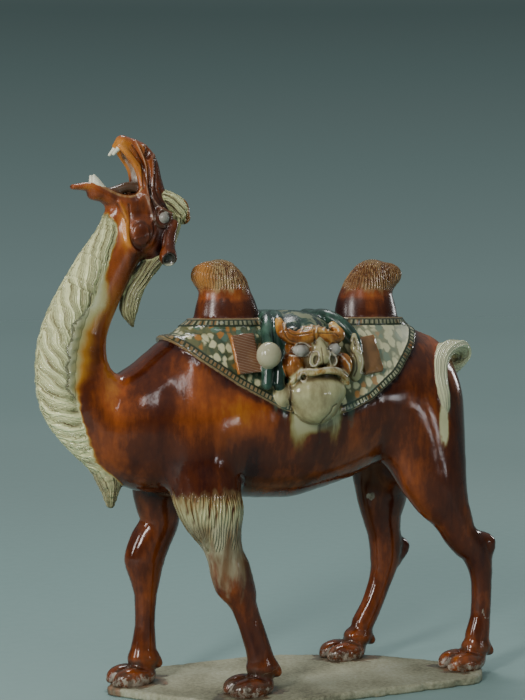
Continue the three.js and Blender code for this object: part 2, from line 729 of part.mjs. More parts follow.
// Fills every pocket of air that has no way out to the grid's first corner.
function fillPockets(grid) {
  const { counts, values } = grid;
  const [nx, ny, nz] = counts;
  const open = new Uint8Array(values.length);
  const queue = [0];
  open[0] = 1;
  const visit = (n) => {
    if (values[n] < 0 || open[n]) return;
    open[n] = 1;
    queue.push(n);
  };
  while (queue.length) {
    const n = queue.pop();
    const i = n % nx;
    const j = Math.floor(n / nx) % ny;
    const k = Math.floor(n / (nx * ny));
    if (i > 0) visit(n - 1);
    if (i < nx - 1) visit(n + 1);
    if (j > 0) visit(n - nx);
    if (j < ny - 1) visit(n + nx);
    if (k > 0) visit(n - nx * ny);
    if (k < nz - 1) visit(n + nx * ny);
  }
  for (let n = 0; n < values.length; n++) if (values[n] >= 0 && !open[n]) values[n] = -grid.step / 10;
}

// The zero surface of the grid as a closed mesh: one point in each cell that it crosses.
function surfaceOf(grid) {
  const { box, step, counts, values } = grid;
  const [nx, ny, nz] = counts;
  const at = (i, j, k) => (k * ny + j) * nx + i;
  const pointOf = new Int32Array(values.length).fill(-1);
  const points = [];
  const corners = [0, 1, 2, 3, 4, 5, 6, 7].map((c) => [c & 1, (c >> 1) & 1, c >> 2]);
  const edges = [];
  for (let a = 0; a < 8; a++) for (const bit of [1, 2, 4]) if (!(a & bit)) edges.push([a, a | bit]);
  const v = new Float64Array(8);
  for (let k = 0; k < nz - 1; k++)
    for (let j = 0; j < ny - 1; j++)
      for (let i = 0; i < nx - 1; i++) {
        let inside = 0;
        for (let c = 0; c < 8; c++) {
          v[c] = values[at(i + (c & 1), j + ((c >> 1) & 1), k + (c >> 2))];
          if (v[c] < 0) inside++;
        }
        if (inside === 0 || inside === 8) continue;
        const sum = [0, 0, 0];
        let crossings = 0;
        for (const [a, b] of edges) {
          if (v[a] < 0 === v[b] < 0) continue;
          const t = v[a] / (v[a] - v[b]);
          for (let n = 0; n < 3; n++) sum[n] += lerp(corners[a][n], corners[b][n], t);
          crossings++;
        }
        pointOf[at(i, j, k)] = points.length / 3;
        points.push(
          box.min.x + (i + sum[0] / crossings) * step,
          box.min.y + (j + sum[1] / crossings) * step,
          box.min.z + (k + sum[2] / crossings) * step,
        );
      }
  const triangles = [];
  const quad = (a, b, c, d, flip) =>
    flip ? triangles.push([a, c, b], [a, d, c]) : triangles.push([a, b, c], [a, c, d]);
  for (let k = 1; k < nz - 1; k++)
    for (let j = 1; j < ny - 1; j++)
      for (let i = 1; i < nx - 1; i++) {
        const here = values[at(i, j, k)] < 0;
        const p = (di, dj, dk) => pointOf[at(i - di, j - dj, k - dk)];
        if (here !== values[at(i + 1, j, k)] < 0) quad(p(0, 1, 1), p(0, 0, 1), p(0, 0, 0), p(0, 1, 0), !here);
        if (here !== values[at(i, j + 1, k)] < 0) quad(p(1, 0, 1), p(1, 0, 0), p(0, 0, 0), p(0, 0, 1), !here);
        if (here !== values[at(i, j, k + 1)] < 0) quad(p(1, 1, 0), p(0, 1, 0), p(0, 0, 0), p(1, 0, 0), !here);
      }
  return { points, triangles };
}

// The sum of squared distances to planes, as the ten numbers of a symmetric 4 by 4 matrix.
function planeError(n, d, weight) {
  const [a, b, c] = n;
  return [a * a, a * b, a * c, a * d, b * b, b * c, b * d, c * c, c * d, d * d].map((v) => v * weight);
}
function errorAt(q, [x, y, z]) {
  return (
    q[0] * x * x + 2 * q[1] * x * y + 2 * q[2] * x * z + 2 * q[3] * x +
    q[4] * y * y + 2 * q[5] * y * z + 2 * q[6] * y + q[7] * z * z + 2 * q[8] * z + q[9]
  );
}
// The point of least error, or null where the planes don't settle one.
function bestPoint(q) {
  const m = new THREE.Matrix3().set(q[0], q[1], q[2], q[1], q[4], q[5], q[2], q[5], q[7]);
  const scale = (q[0] + q[4] + q[7]) / 3;
  if (Math.abs(m.determinant()) < 1e-3 * scale ** 3) return null;
  return new THREE.Vector3(-q[3], -q[6], -q[8]).applyMatrix3(m.invert()).toArray();
}
function cross(points, a, b, c) {
  const [ax, ay, az] = points[a];
  const ux = points[b][0] - ax, uy = points[b][1] - ay, uz = points[b][2] - az;
  const vx = points[c][0] - ax, vy = points[c][1] - ay, vz = points[c][2] - az;
  return [uy * vz - uz * vy, uz * vx - ux * vz, ux * vy - uy * vx];
}

// A queue that gives back the entry of least cost.
class CostQueue {
  entries = [];
  push(entry) {
    const list = this.entries;
    let i = list.push(entry) - 1;
    for (let up = (i - 1) >> 1; i > 0 && list[up].cost > entry.cost; up = (i - 1) >> 1) {
      list[i] = list[up];
      i = up;
    }
    list[i] = entry;
  }
  pop() {
    const list = this.entries;
    const top = list[0];
    const last = list.pop();
    if (!list.length) return top;
    let i = 0;
    for (;;) {
      let down = 2 * i + 1;
      if (down >= list.length) break;
      if (down + 1 < list.length && list[down + 1].cost < list[down].cost) down++;
      if (list[down].cost >= last.cost) break;
      list[i] = list[down];
      i = down;
    }
    list[i] = last;
    return top;
  }
}

// Thins a closed mesh to `target` triangles by joining the ends of whichever edge changes the shape least.
// `care` says how much more the shape matters at a point.
function thinOut(mesh, target, care) {
  const points = [];
  for (let i = 0; i < mesh.points.length; i += 3) points.push(mesh.points.slice(i, i + 3));
  const faces = mesh.triangles.map((t) => [...t]);
  const facesAt = points.map(() => new Set());
  const errors = points.map(() => new Array(10).fill(0));
  const version = new Int32Array(points.length);
  faces.forEach((f, n) => {
    const normal = cross(points, ...f);
    const area = Math.hypot(...normal) / 2 || 1e-12;
    const unit = normal.map((v) => v / (2 * area));
    const d = -unit.reduce((s, v, i) => s + v * points[f[0]][i], 0);
    const q = planeError(unit, d, area * care(points[f[0]]));
    for (const p of f) {
      facesAt[p].add(n);
      for (let i = 0; i < 10; i++) errors[p][i] += q[i];
    }
  });
  const neighbours = (p) => {
    const found = new Set();
    for (const n of facesAt[p]) for (const v of faces[n]) if (v !== p) found.add(v);
    return found;
  };
  const queue = new CostQueue();
  const offer = (a, b) => {
    const q = errors[a].map((v, i) => v + errors[b][i]);
    const middle = points[a].map((v, i) => (v + points[b][i]) / 2);
    const best = bestPoint(q);
    const length = Math.hypot(...points[a].map((v, i) => v - points[b][i]));
    const near = best && Math.hypot(...best.map((v, i) => v - middle[i])) < 2 * length;
    const choices = near ? [best] : [middle, points[a], points[b]];
    let chosen = choices[0];
    for (const c of choices) if (errorAt(q, c) < errorAt(q, chosen)) chosen = c;
    const cost = Math.max(errorAt(q, chosen), 0) + 1e-5 * length * length;
    queue.push({ cost, a, b, at: chosen, stamp: version[a] + version[b] });
  };
  points.forEach((_, a) => {
    for (const b of neighbours(a)) if (a < b) offer(a, b);
  });
  let left = faces.length;
  while (left > target && queue.entries.length) {
    const { a, b, at, stamp } = queue.pop();
    if (!points[a] || !points[b] || stamp !== version[a] + version[b]) continue;
    const aroundA = neighbours(a);
    const aroundB = neighbours(b);
    const shared = [...aroundA].filter((v) => aroundB.has(v));
    if (shared.length !== 2) continue;
    const both = (n) => faces[n].includes(a) && faces[n].includes(b);
    const moved = [...facesAt[a], ...facesAt[b]].filter((n) => !both(n));
    const flips = moved.some((n) => {
      const before = cross(points, ...faces[n]);
      const p = faces[n].map((v) => (v === a || v === b ? at : points[v]));
      const after = cross(p, 0, 1, 2);
      const sizes = Math.hypot(...before) * Math.hypot(...after);
      return before[0] * after[0] + before[1] * after[1] + before[2] * after[2] < 0.25 * sizes + 1e-12;
    });
    if (flips) continue;
    for (const n of [...facesAt[b]]) {
      if (faces[n].includes(a)) {
        for (const v of faces[n]) facesAt[v]?.delete(n);
        faces[n] = null;
        left--;
      } else {
        faces[n] = faces[n].map((v) => (v === b ? a : v));
        facesAt[a].add(n);
      }
    }
    points[a] = at;
    points[b] = null;
    facesAt[b] = null;
    errors[a] = errors[a].map((v, i) => v + errors[b][i]);
    version[a] += version[b] + 1;
    for (const v of neighbours(a)) offer(a, v);
  }
  const order = new Map();
  const kept = [];
  points.forEach((p, n) => {
    if (p && facesAt[n].size) {
      order.set(n, kept.length / 3);
      kept.push(...p);
    }
  });
  return { points: kept, triangles: faces.filter(Boolean).map((f) => f.map((v) => order.get(v))) };
}

// The face, the masks and the mane keep more of their shape than the plain flanks do.
function care([x, y, z]) {
  const head = z > 77 && x < -21 ? 3 : 0;
  const mask = Math.abs(y) > 11.5 && z > 48 && x > -14 && x < 9 ? 2 : 0;
  const mane = x < -44 ? 1 : 0;
  return 1 + head + mask + mane;
}

function figureMesh() {
  const step = GRID_STEP / UNIT;
  const whole = new THREE.Box3(new THREE.Vector3(-53, -18.5, -2), new THREE.Vector3(40.5, 18.5, 101.5));
  const grid = makeGrid(whole, step);
  addShapes(grid, TRUNK);
  const cloth = new THREE.Box3(new THREE.Vector3(-30, -15, 48), new THREE.Vector3(26, 15, 71));
  const trunk = { ...grid, values: grid.values.slice() };
  addShapes(grid, [...NECK, ...HEAD, ...LEGS]);
  // The sole of each foot is flat, and bedded in the slab.
  sweep(grid, whole, (was, x, y, z) => Math.max(was, -SOLE_DEPTH / UNIT - z));
  let n = 0;
  const under = [];
  sweep(trunk, cloth, (was, x, y, z) => (under.push(clothField(was, x, y, z)), was));
  sweep(grid, cloth, (was) => smoothMin(was, under[n++], 0));
  addShapes(grid, [...LOAD, ...MASK, ...TAIL]);
  settleCells(grid);
  fillPockets(grid);
  settleCells(grid);
  const thin = thinOut(surfaceOf(grid), FIGURE_TRIANGLES, care);
  return { points: thin.points.map((v) => v * UNIT), triangles: thin.triangles };
}

// The slab's corners, each as a foot and the way from it, in slab margins.
const SLAB_CORNERS = [
  ["rightFore", -0.9, -0.1],
  ["leftFore", -1.62, 0.15],
  ["leftFore", -0.6, -1.06],
  ["leftHind", -0.1, -1.14],
  ["leftHind", 0.62, 0],
  ["rightHind", 0.86, 0.0],
  ["rightHind", -1.9, 1.32],
  ["rightFore", 0.75, 1.38],
];

// Rounds each corner of a closed outline by an arc of about the slab's corner radius.
function slabGeometry() {
  const margin = SLAB_MARGIN;
  const corners = SLAB_CORNERS.map(([name, dx, dy]) => {
    const [x, y] = FEET[name];
    return new THREE.Vector2(x * UNIT + dx * margin, y * UNIT + dy * margin);
  });
  const outline = new THREE.Shape();
  corners.forEach((corner, i) => {
    const before = corners[(i + corners.length - 1) % corners.length];
    const after = corners[(i + 1) % corners.length];
    const start = corner.clone().add(before.clone().sub(corner).setLength(SLAB_CORNER_RADIUS));
    const end = corner.clone().add(after.clone().sub(corner).setLength(SLAB_CORNER_RADIUS));
    if (i === 0) outline.moveTo(start.x, start.y);
    else outline.lineTo(start.x, start.y);
    outline.quadraticCurveTo(corner.x, corner.y, end.x, end.y);
  });
  return new THREE.ExtrudeGeometry(outline, { depth: SLAB_THICKNESS, bevelEnabled: false, curveSegments: 4 });
}

const wasm = await Module();
wasm.setup();

function solidFrom(points, triangles) {
  return new wasm.Manifold(
    new wasm.Mesh({
      numProp: 3,
      vertProperties: new Float32Array(points),
      triVerts: new Uint32Array(triangles),
    }),
  );
}

// A closed geometry as a solid, its shared corners merged.
function solidOfGeometry(geometry) {
  const position = geometry.getAttribute("position");
  const seen = new Map();
  const points = [];
  const triangles = [];
  for (let i = 0; i < position.count; i++) {
    const p = [position.getX(i), position.getY(i), position.getZ(i)];
    const key = p.map((v) => v.toFixed(4)).join();
    if (!seen.has(key)) {
      seen.set(key, points.length / 3);
      points.push(...p);
    }
    triangles.push(seen.get(key));
  }
  return solidFrom(points, triangles);
}

function camelOnSlab() {
  const figure = figureMesh();
  const lifted = figure.points.map((v, i) => (i % 3 === 2 ? v + SLAB_THICKNESS : v));
  const solid = solidFrom(lifted, figure.triangles.flat()).add(solidOfGeometry(slabGeometry()));
  const mesh = solid.getMesh();
  const corners = new Float32Array(mesh.numVert * 3);
  for (let i = 0; i < mesh.numVert; i++) {
    corners.set(mesh.vertProperties.subarray(i * mesh.numProp, i * mesh.numProp + 3), i * 3);
  }
  const geometry = new THREE.BufferGeometry();
  geometry.setAttribute("position", new THREE.BufferAttribute(corners, 3));
  geometry.setIndex(new THREE.BufferAttribute(mesh.triVerts, 1));
  geometry.computeVertexNormals();
  return geometry;
}

const glaze = new THREE.MeshStandardMaterial({ color: 0x8a3d12, roughness: 0.22, metalness: 0 });
const camel = new THREE.Mesh(camelOnSlab(), glaze);
camel.name = "sancai_camel";

const group = new THREE.Group();
group.add(camel);

export default group;
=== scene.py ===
"""A sancai-glazed earthenware camel that stands braying on its own slab.

Lengths in the tables are hundredths of the figure's height, with z from the slab's top.
The camel walks towards -X, and its left side is at -Y.
"""

import math
from itertools import combinations

import bpy
import numpy as np
from mathutils import Matrix, Vector


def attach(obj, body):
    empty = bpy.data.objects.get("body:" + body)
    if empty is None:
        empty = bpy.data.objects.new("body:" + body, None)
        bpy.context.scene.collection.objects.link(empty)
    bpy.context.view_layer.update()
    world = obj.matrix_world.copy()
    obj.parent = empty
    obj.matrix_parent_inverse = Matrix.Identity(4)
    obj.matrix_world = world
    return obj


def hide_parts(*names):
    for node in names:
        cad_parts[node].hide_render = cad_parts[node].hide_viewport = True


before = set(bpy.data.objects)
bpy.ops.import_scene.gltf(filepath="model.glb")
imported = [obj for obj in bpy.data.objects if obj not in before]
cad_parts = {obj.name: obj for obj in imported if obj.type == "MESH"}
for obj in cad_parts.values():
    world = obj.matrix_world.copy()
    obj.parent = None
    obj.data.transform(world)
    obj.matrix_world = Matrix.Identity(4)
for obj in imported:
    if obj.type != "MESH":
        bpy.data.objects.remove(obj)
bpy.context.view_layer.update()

FIGURE_HEIGHT = 868.0
SLAB_THICKNESS = 13.0
SLAB_CORNER_RADIUS = 26.0
SLAB_MARGIN = 61.0
SOLE_DEPTH = 1.5
UNIT = FIGURE_HEIGHT / 100
GLAZE_ROUND_FOOT = 4.2
CLOTH = 4.5 / UNIT
BORDER_WIDTH = 14 / UNIT
BORDER_RAISE = 2.2 / UNIT
BOARD_HALF = 8 / UNIT / 2
COLLAR_HEIGHT = 67.4
COLLAR_GAP = 1.6
HUMP_TIPS = (-15.4, 17)
FORELEG_X, FORELEG_Y = -21, -8.6
FEET = {
    "leftFore": [-13.8, -9.0],
    "rightFore": [-29.8, 7.9],
    "leftHind": [31.9, -9.2],
    "rightHind": [15.4, 8.5],
}
# The boxes that the two meshes are made in, their first step and how many triangles they keep.
FIGURE_BOX = (-53, -18.5, -1), (41, 18.5, 101)
FIGURE_STEP = 3 / UNIT
FIGURE_TRIANGLES = 190000
SLAB_BOX = (-345, -165, -7), (345, 171, 21)
SLAB_STEP = 4
SLAB_TRIANGLES = 30000
FAR = 1e3
TINY = np.float32(1e-6)


def ramp(low, high, value):
    t = np.clip((value - low) / (high - low), 0, 1)
    return t * t * (3 - 2 * t)


def wave(turns):
    return np.cos(turns * (2 * np.pi))


def dot(a, b):
    return a[0] * b[0] + a[1] * b[1] + a[2] * b[2]


def smooth_min(a, b, k):
    """The smaller of two distances, rounded over the width k where they meet."""
    if k <= 0:
        return np.minimum(a, b)
    h = np.maximum(k - np.abs(a - b), 0)
    return np.minimum(a, b) - h * h / (4 * k)


def smooth_line(rows, spans):
    """Points along a Catmull-Rom line through the rows, `spans` to a row, the rest of each row in step."""
    rows = np.array(rows, float)
    ends = np.vstack([2 * rows[0] - rows[1], rows, 2 * rows[-1] - rows[-2]])
    found = []
    for i in range(len(rows) - 1):
        a, b, c, d = ends[i : i + 4]
        for j in range(spans + (i == len(rows) - 2)):
            t = j / spans
            p = b + t * (c - a) / 2
            p = p + t * t * (-3 * b + 3 * c - (c - a) - (d - b) / 2)
            p = p + t * t * t * (2 * b - 2 * c + (c - a) / 2 + (d - b) / 2)
            p[3:] = b[3:] + (c[3:] - b[3:]) * t
            found.append(p)
    return np.array(found)


class Shape:
    """A rounded form with its field, its box, and how it joins what is there."""

    def __init__(self, local, low, high, blend, mirror=False, cut=False, carve=None):
        self.local, self.blend, self.mirror, self.cut, self.carve = local, blend, mirror, cut, carve
        self.low, self.high = np.array(low, float), np.array(high, float)

    def read(self, points, reach):
        """Distance, along, side and lift at the points within `reach` of the box, else far."""
        own = points
        if self.mirror:
            own = points.copy()
            own[:, 1] = -np.abs(own[:, 1])
        near = np.nonzero(((own >= self.low - reach) & (own <= self.high + reach)).all(1))[0]
        found = np.zeros((4, len(points)), np.float32)
        found[0] = FAR
        if len(near):
            found[:, near] = self.local(own[near], reach)
            if self.carve:
                found[0, near] += self.carve(found[1, near], found[2, near], own[near])
        return found


def limb(blend, rows, across=(0, 1, 0), **how):
    """A limb along a smooth line through rows of x, y, z, half-depth and half-width along `across`."""
    stations = smooth_line(rows, 4)
    lengths = np.linalg.norm(np.diff(stations[:, :3], axis=0), axis=1)
    along_at = np.concatenate([[0], np.cumsum(lengths)])
    reach = np.array(rows)[:, 3:].max()
    across = np.array(across, float)

    def local(points, beyond):
        found = np.zeros((4, len(points)), np.float32)
        found[0] = FAR
        for a, b, length, before in zip(stations, stations[1:], lengths, along_at):
            wide = max(*a[3:], *b[3:]) + beyond
            boxed = (points > np.minimum(a, b)[:3] - wide) & (points < np.maximum(a, b)[:3] + wide)
            at = np.nonzero(boxed.all(1))[0]
            if not len(at):
                continue
            start, way = a.astype(np.float32), (b - a).astype(np.float32)
            gap = points[at].T - start[:3, None]
            t = np.clip(dot(gap, way) / np.float32(length**2), 0, 1)
            gap = gap - t * way[:3, None]
            squared = dot(gap, gap)
            side = dot(gap, across.astype(np.float32))
            side2 = side * side
            depth, width = start[3] + t * way[3], start[4] + t * way[4]
            share = np.sqrt(np.maximum(squared - side2, 0) / (depth * depth) + side2 / (width * width))
            d = np.sqrt(squared) * (1 - 1 / np.maximum(share, TINY))
            d = np.where(share > 1e-5, d, -np.minimum(depth, width))
            lift = dot(gap, np.cross((b - a)[:3] / length, across))
            won = d < found[0, at]
            now = np.array([d, np.float32(before) + t * np.float32(length), side, lift])
            found[:, at[won]] = now[:, won]
        return found

    shape = Shape(local, stations[:, :3].min(0) - reach, stations[:, :3].max(0) + reach, blend, **how)
    shape.total = along_at[-1]
    return shape


def ball(blend, c, r, **how):
    """An ellipsoid at c with radii r."""
    c, r = np.array(c, np.float32), np.array(r, np.float32)

    def local(points, beyond):
        q = points - c
        share = np.sqrt(((q / r) ** 2).sum(1))
        d = np.sqrt((q * q).sum(1)) * (1 - 1 / np.maximum(share, TINY))
        return np.where(share > 1e-5, d, -r.min()), q[:, 0], q[:, 2], q[:, 1]

    return Shape(local, c - r, c + r, blend, **how)


def board(blend, c, r, lean, turn, **how):
    """A flat board with half-sizes r, leaning by `lean` about X and turned by `turn` about Y, in degrees."""
    back = np.array(Matrix.Rotation(math.radians(lean), 3, "X") @ Matrix.Rotation(math.radians(turn), 3, "Y"))
    c = np.array(c, np.float32)

    def local(points, beyond):
        q = ((points - c) @ back).astype(np.float32)
        over = np.abs(q) - np.array(r, np.float32)
        d = np.sqrt((np.maximum(over, 0) ** 2).sum(1)) + np.minimum(over.max(1), 0)
        return d, q[:, 2], q[:, 0], q[:, 1]

    far = math.sqrt(sum(v * v for v in r))
    return Shape(local, c - far, c + far, blend, **how)


def slanted_locks(pitch, slant, deep):
    """Locks that slant back from a middle parting."""
    return lambda along, side, p: (
        deep * wave((along + slant * np.abs(side)) / pitch) * ramp(0, 1.2, np.abs(side))
    )


def long_locks(pitch, deep):
    """Locks that run along a tuft."""
    return lambda along, side, p: deep * wave(side / pitch) * ramp(0, 1.5, along)


def hump_cap(tip_x):
    """The grooved cap of a hump."""

    def carve(along, side, p):
        turns = np.arctan2(p[:, 1], (p[:, 0] - tip_x) * 0.8) * 3.6
        return 0.04 * wave(turns) * ramp(72.6, 74, p[:, 2]) * (1 - ramp(76.9, 77.8, p[:, 2]))

    return carve


def cuff(along, side, p):
    """The long hair round the top of the near foreleg."""
    x, y, z = p.T
    turns = np.arctan2(y - FORELEG_Y, (x - FORELEG_X) * 0.7) * 1.43 + 0.2 * wave(z / 9)
    return 0.08 * wave(turns) * ramp(26.5, 31, z) * (1 - ramp(35.6, 36.6, z))


# Each row of a limb: x, y, z, half-depth and half-width. Each ball: its centre and its radii.
FRONT_HUMP = limb(2.2, [
    (-13.9, 0, 63.5, 6.9, 5.2), (-14.1, 0, 67.6, 6.15, 4.6), (-14.3, 0, 70, 5.35, 4),
    (-14.6, 0, 72.2, 4.8, 3.7), (-15.5, 0, 74, 4.2, 3.5),
], carve=hump_cap(HUMP_TIPS[0]))
REAR_HUMP = limb(2.2, [
    (15.5, 0, 63.5, 6.9, 5.2), (15.4, 0, 68, 6.3, 4.6), (15.4, 0, 70.3, 5.6, 4), (15.9, 0, 72.3, 5, 3.7),
    (16.8, 0, 74, 4.5, 3.5),
], carve=hump_cap(HUMP_TIPS[1]))

# The barrel, the back and the humps.
TRUNK = [
    limb(0, [
        (-31, 0, 46.8, 9.2, 6.8), (-26.5, 0, 48.2, 12, 8.8), (-20, 0, 49.2, 14.2, 10.4),
        (-12, 0, 49, 14.6, 11.1), (-3, 0, 49.2, 15.4, 11.5), (6, 0, 50.2, 14.2, 11.2),
        (14, 0, 51.8, 12.6, 10.6), (20, 0, 52.8, 11, 9.8), (25.6, 0, 53, 9.6, 8.6),
    ]),
    limb(5, [
        (-25, 0, 56.6, 5.2, 4.2), (-20, 0, 59.8, 6.4, 5.8), (-10, 0, 60.8, 5.8, 6.8), (0, 0, 60.4, 5.6, 7.2),
        (10, 0, 60.4, 5.4, 7), (19, 0, 60.4, 6.2, 6), (26, 0, 58.4, 5.4, 5.2),
    ]),
    FRONT_HUMP,
    ball(1.6, [-18.7, 0, 75.2], [2.2, 2.3, 2.1]),
    REAR_HUMP,
    ball(1.6, [20.6, 0, 75.5], [2.3, 2.3, 2.1]),
]

# The neck, thrown back, with the mane down its throat and the hair down its nape.
NECK = [
    limb(4, [
        (-33.2, 0, 82, 4, 3.5), (-36, 0, 77.8, 4, 3.4), (-39.4, 0, 71.6, 4.2, 3.4),
        (-41.8, 0, 65.2, 4.2, 3.5), (-42.2, 0, 59.2, 4.7, 4.1), (-40.6, 0, 53, 6, 5.2),
        (-37, 0, 48.6, 7.6, 6.4), (-31.5, 0, 47.6, 9.6, 7.8),
    ]),
    limb(0.5, [
        (-36.9, 0, 85, 1.2, 1.5), (-37.5, 0, 82, 2.1, 2.7), (-40, 0, 77.2, 2.9, 3.5),
        (-42.7, 0, 72, 3.4, 3.9), (-45, 0, 67.3, 3.6, 4.1), (-46.3, 0, 63.2, 3.7, 4.3),
        (-46.8, 0, 59.2, 3.7, 4.4), (-46.6, 0, 54.6, 3.6, 4.4), (-45.5, 0, 51.2, 3.5, 4.3),
        (-43.4, 0, 48.2, 3.4, 4.2), (-41, 0, 45.3, 3.1, 3.9), (-38.5, 0, 42.6, 2.9, 3.5),
        (-37.1, 0, 38.9, 2.3, 2.7), (-36.9, 0, 34.6, 0.8, 1),
    ], carve=slanted_locks(2.1, -1.1, 0.06)),
    limb(0.5, [
        (-24.2, 0, 85.4, 1, 2.2), (-25.6, 0, 81.8, 1.1, 2.3), (-28, 0, 78.2, 1.3, 2.1),
        (-30.6, 0, 75.4, 1.55, 1.5), (-32.4, 0, 72.6, 1.8, 1.3), (-33.3, 0, 69.4, 1.7, 1.1),
        (-33, 0, 67.5, 0.9, 0.7), (-32.6, 0, 66.1, 0.3, 0.4),
    ], carve=long_locks(1.6, 0.14)),
]

# The head, thrown right back: skull, cheeks, the two jaws with the mouth between them, teeth, eyes and ears.
HEAD = [
    limb(1.2, [(-34.8, 0, 85.8, 2.8, 2.6), (-31.6, 0, 83.6, 4.3, 3.3), (-28.8, 0, 81.6, 3.9, 3.3)]),
    ball(0.4, [-31.6, -2.3, 82.7], [2.9, 1.9, 3], mirror=True),
    limb(1.6, [
        (-28.2, 0, 84.6, 3.2, 3.3), (-28.7, 0, 88.6, 2.6, 2.7), (-29.3, 0, 92.2, 2.2, 2.2),
        (-30, 0, 95.2, 2.1, 1.9), (-31.6, 0, 97.3, 1.8, 1.9), (-34.5, 0, 98.8, 1.2, 1.5),
    ]),
    limb(0.8, [
        (-35.3, -1, 98, 0.6, 0.6), (-34.2, -1.5, 96.8, 0.6, 0.6), (-32.2, -1.7, 94.2, 0.7, 0.6),
        (-31.5, -2, 91.4, 0.7, 0.7), (-31.4, -2.4, 89.4, 0.8, 0.8),
    ], mirror=True),
    limb(1.2, [
        (-30.8, 0, 87.8, 2.6, 3), (-34.6, 0, 87.9, 1.9, 2.6), (-38.2, 0, 89.4, 1.3, 2),
        (-40.8, 0, 90.7, 0.9, 1.5), (-43.7, 0, 90.6, 0.5, 1),
    ]),
    ball(0.8, [-39.6, 0, 89.3], [1.4, 1.5, 1]),
    limb(0.4, [
        (-43.4, 0, 93.2, 1.9, 0.9), (-38.6, 0, 93.2, 2.65, 1.4), (-35, 0, 91.8, 2.6, 1.75),
        (-33.2, 0, 91, 1.7, 1.5), (-31.6, 0, 89.6, 0.9, 1),
    ], cut=True),
    limb(0.3, [(-33.8, 0, 96.4, 0.8, 0.95), (-32.1, 0, 94, 1, 1.15), (-31.9, 0, 91.4, 1.1, 1.3)], cut=True),
    limb(0.5, [
        (-31.8, 0, 90.8, 1.1, 1.3), (-33.9, 0, 90.7, 1, 1.3), (-36.2, 0, 90.1, 0.8, 1.1),
        (-38.2, 0, 90.3, 0.4, 0.8),
    ]),
    limb(0.3, [
        (-39.1, -0.8, 90.3, 1.2, 0.6), (-39.7, -0.8, 91.6, 0.75, 0.5), (-40.1, -0.8, 92.6, 0.25, 0.25),
    ], mirror=True),
    limb(0.2, [[-35.2, -0.9, 97.9, 0.5, 0.45], [-36.5, -1, 96.5, 0.25, 0.25]], mirror=True),
    ball(0.3, [-30.2, -2, 97], [0.6, 0.9, 1.3], mirror=True, cut=True),
    ball(0.7, [-27.9, -3.2, 85.5], [1.7, 1, 1.8], mirror=True),
    ball(0.3, [-28, -4.2, 85.4], [1.45, 0.6, 1.5], mirror=True, cut=True),
    ball(0.1, [-28, -3.4, 85.4], [1.03, 1.05, 1.03], mirror=True),
    limb(0.6, [
        (-28.4, 0, 89.4, 1.2, 2), (-25.9, 0, 88.4, 1.9, 2.6), (-23.9, 0, 87.2, 1.9, 2.6),
        (-22.9, 0, 85.7, 1.2, 1.8),
    ], carve=long_locks(1.5, 0.14)),
    limb(0.5, [
        (-25.9, -3.2, 84.4, 0.8, 0.7), (-27.1, -3.8, 81.8, 1.15, 0.8), (-27.5, -4.4, 79.8, 1.2, 1),
        (-27.7, -4.8, 78.4, 1.6, 1.3),
    ], mirror=True),
    ball(0.2, [-27.8, -5.7, 77.7], [1.05, 1, 1.25], mirror=True, cut=True),
]


def foot(at, fetlock):
    """A two-toed foot below the flare of the fetlock, with its dewclaws behind it."""
    x, y = at
    fx, fz = fetlock
    toes = []
    for side in (-1, 1):
        toes.append(ball(0.4, [x - 0.5, y + side * 1.85, 1.1], [3.7, 2.1, 2.05]))
        toes.append(ball(0.3, [x - 3.6, y + side * 1.65, 0.6], [0.8, 1, 0.8]))
    return [
        ball(0.6, [x + 2, y, 1.3], [2.6, 2.9, 2.1]),
        *toes,
        ball(0.8, [fx, y, fz], [3.1, 2.5, 2]),
        limb(0.8, [[fx, y, fz - 0.4, 2, 1.8], [(x + fx) / 2 + 0.6, y, 1.8, 2, 2]]),
        ball(0.6, [fx + 2.5, y, fz - 0.9], [1, 1.9, 1.1]),
    ]


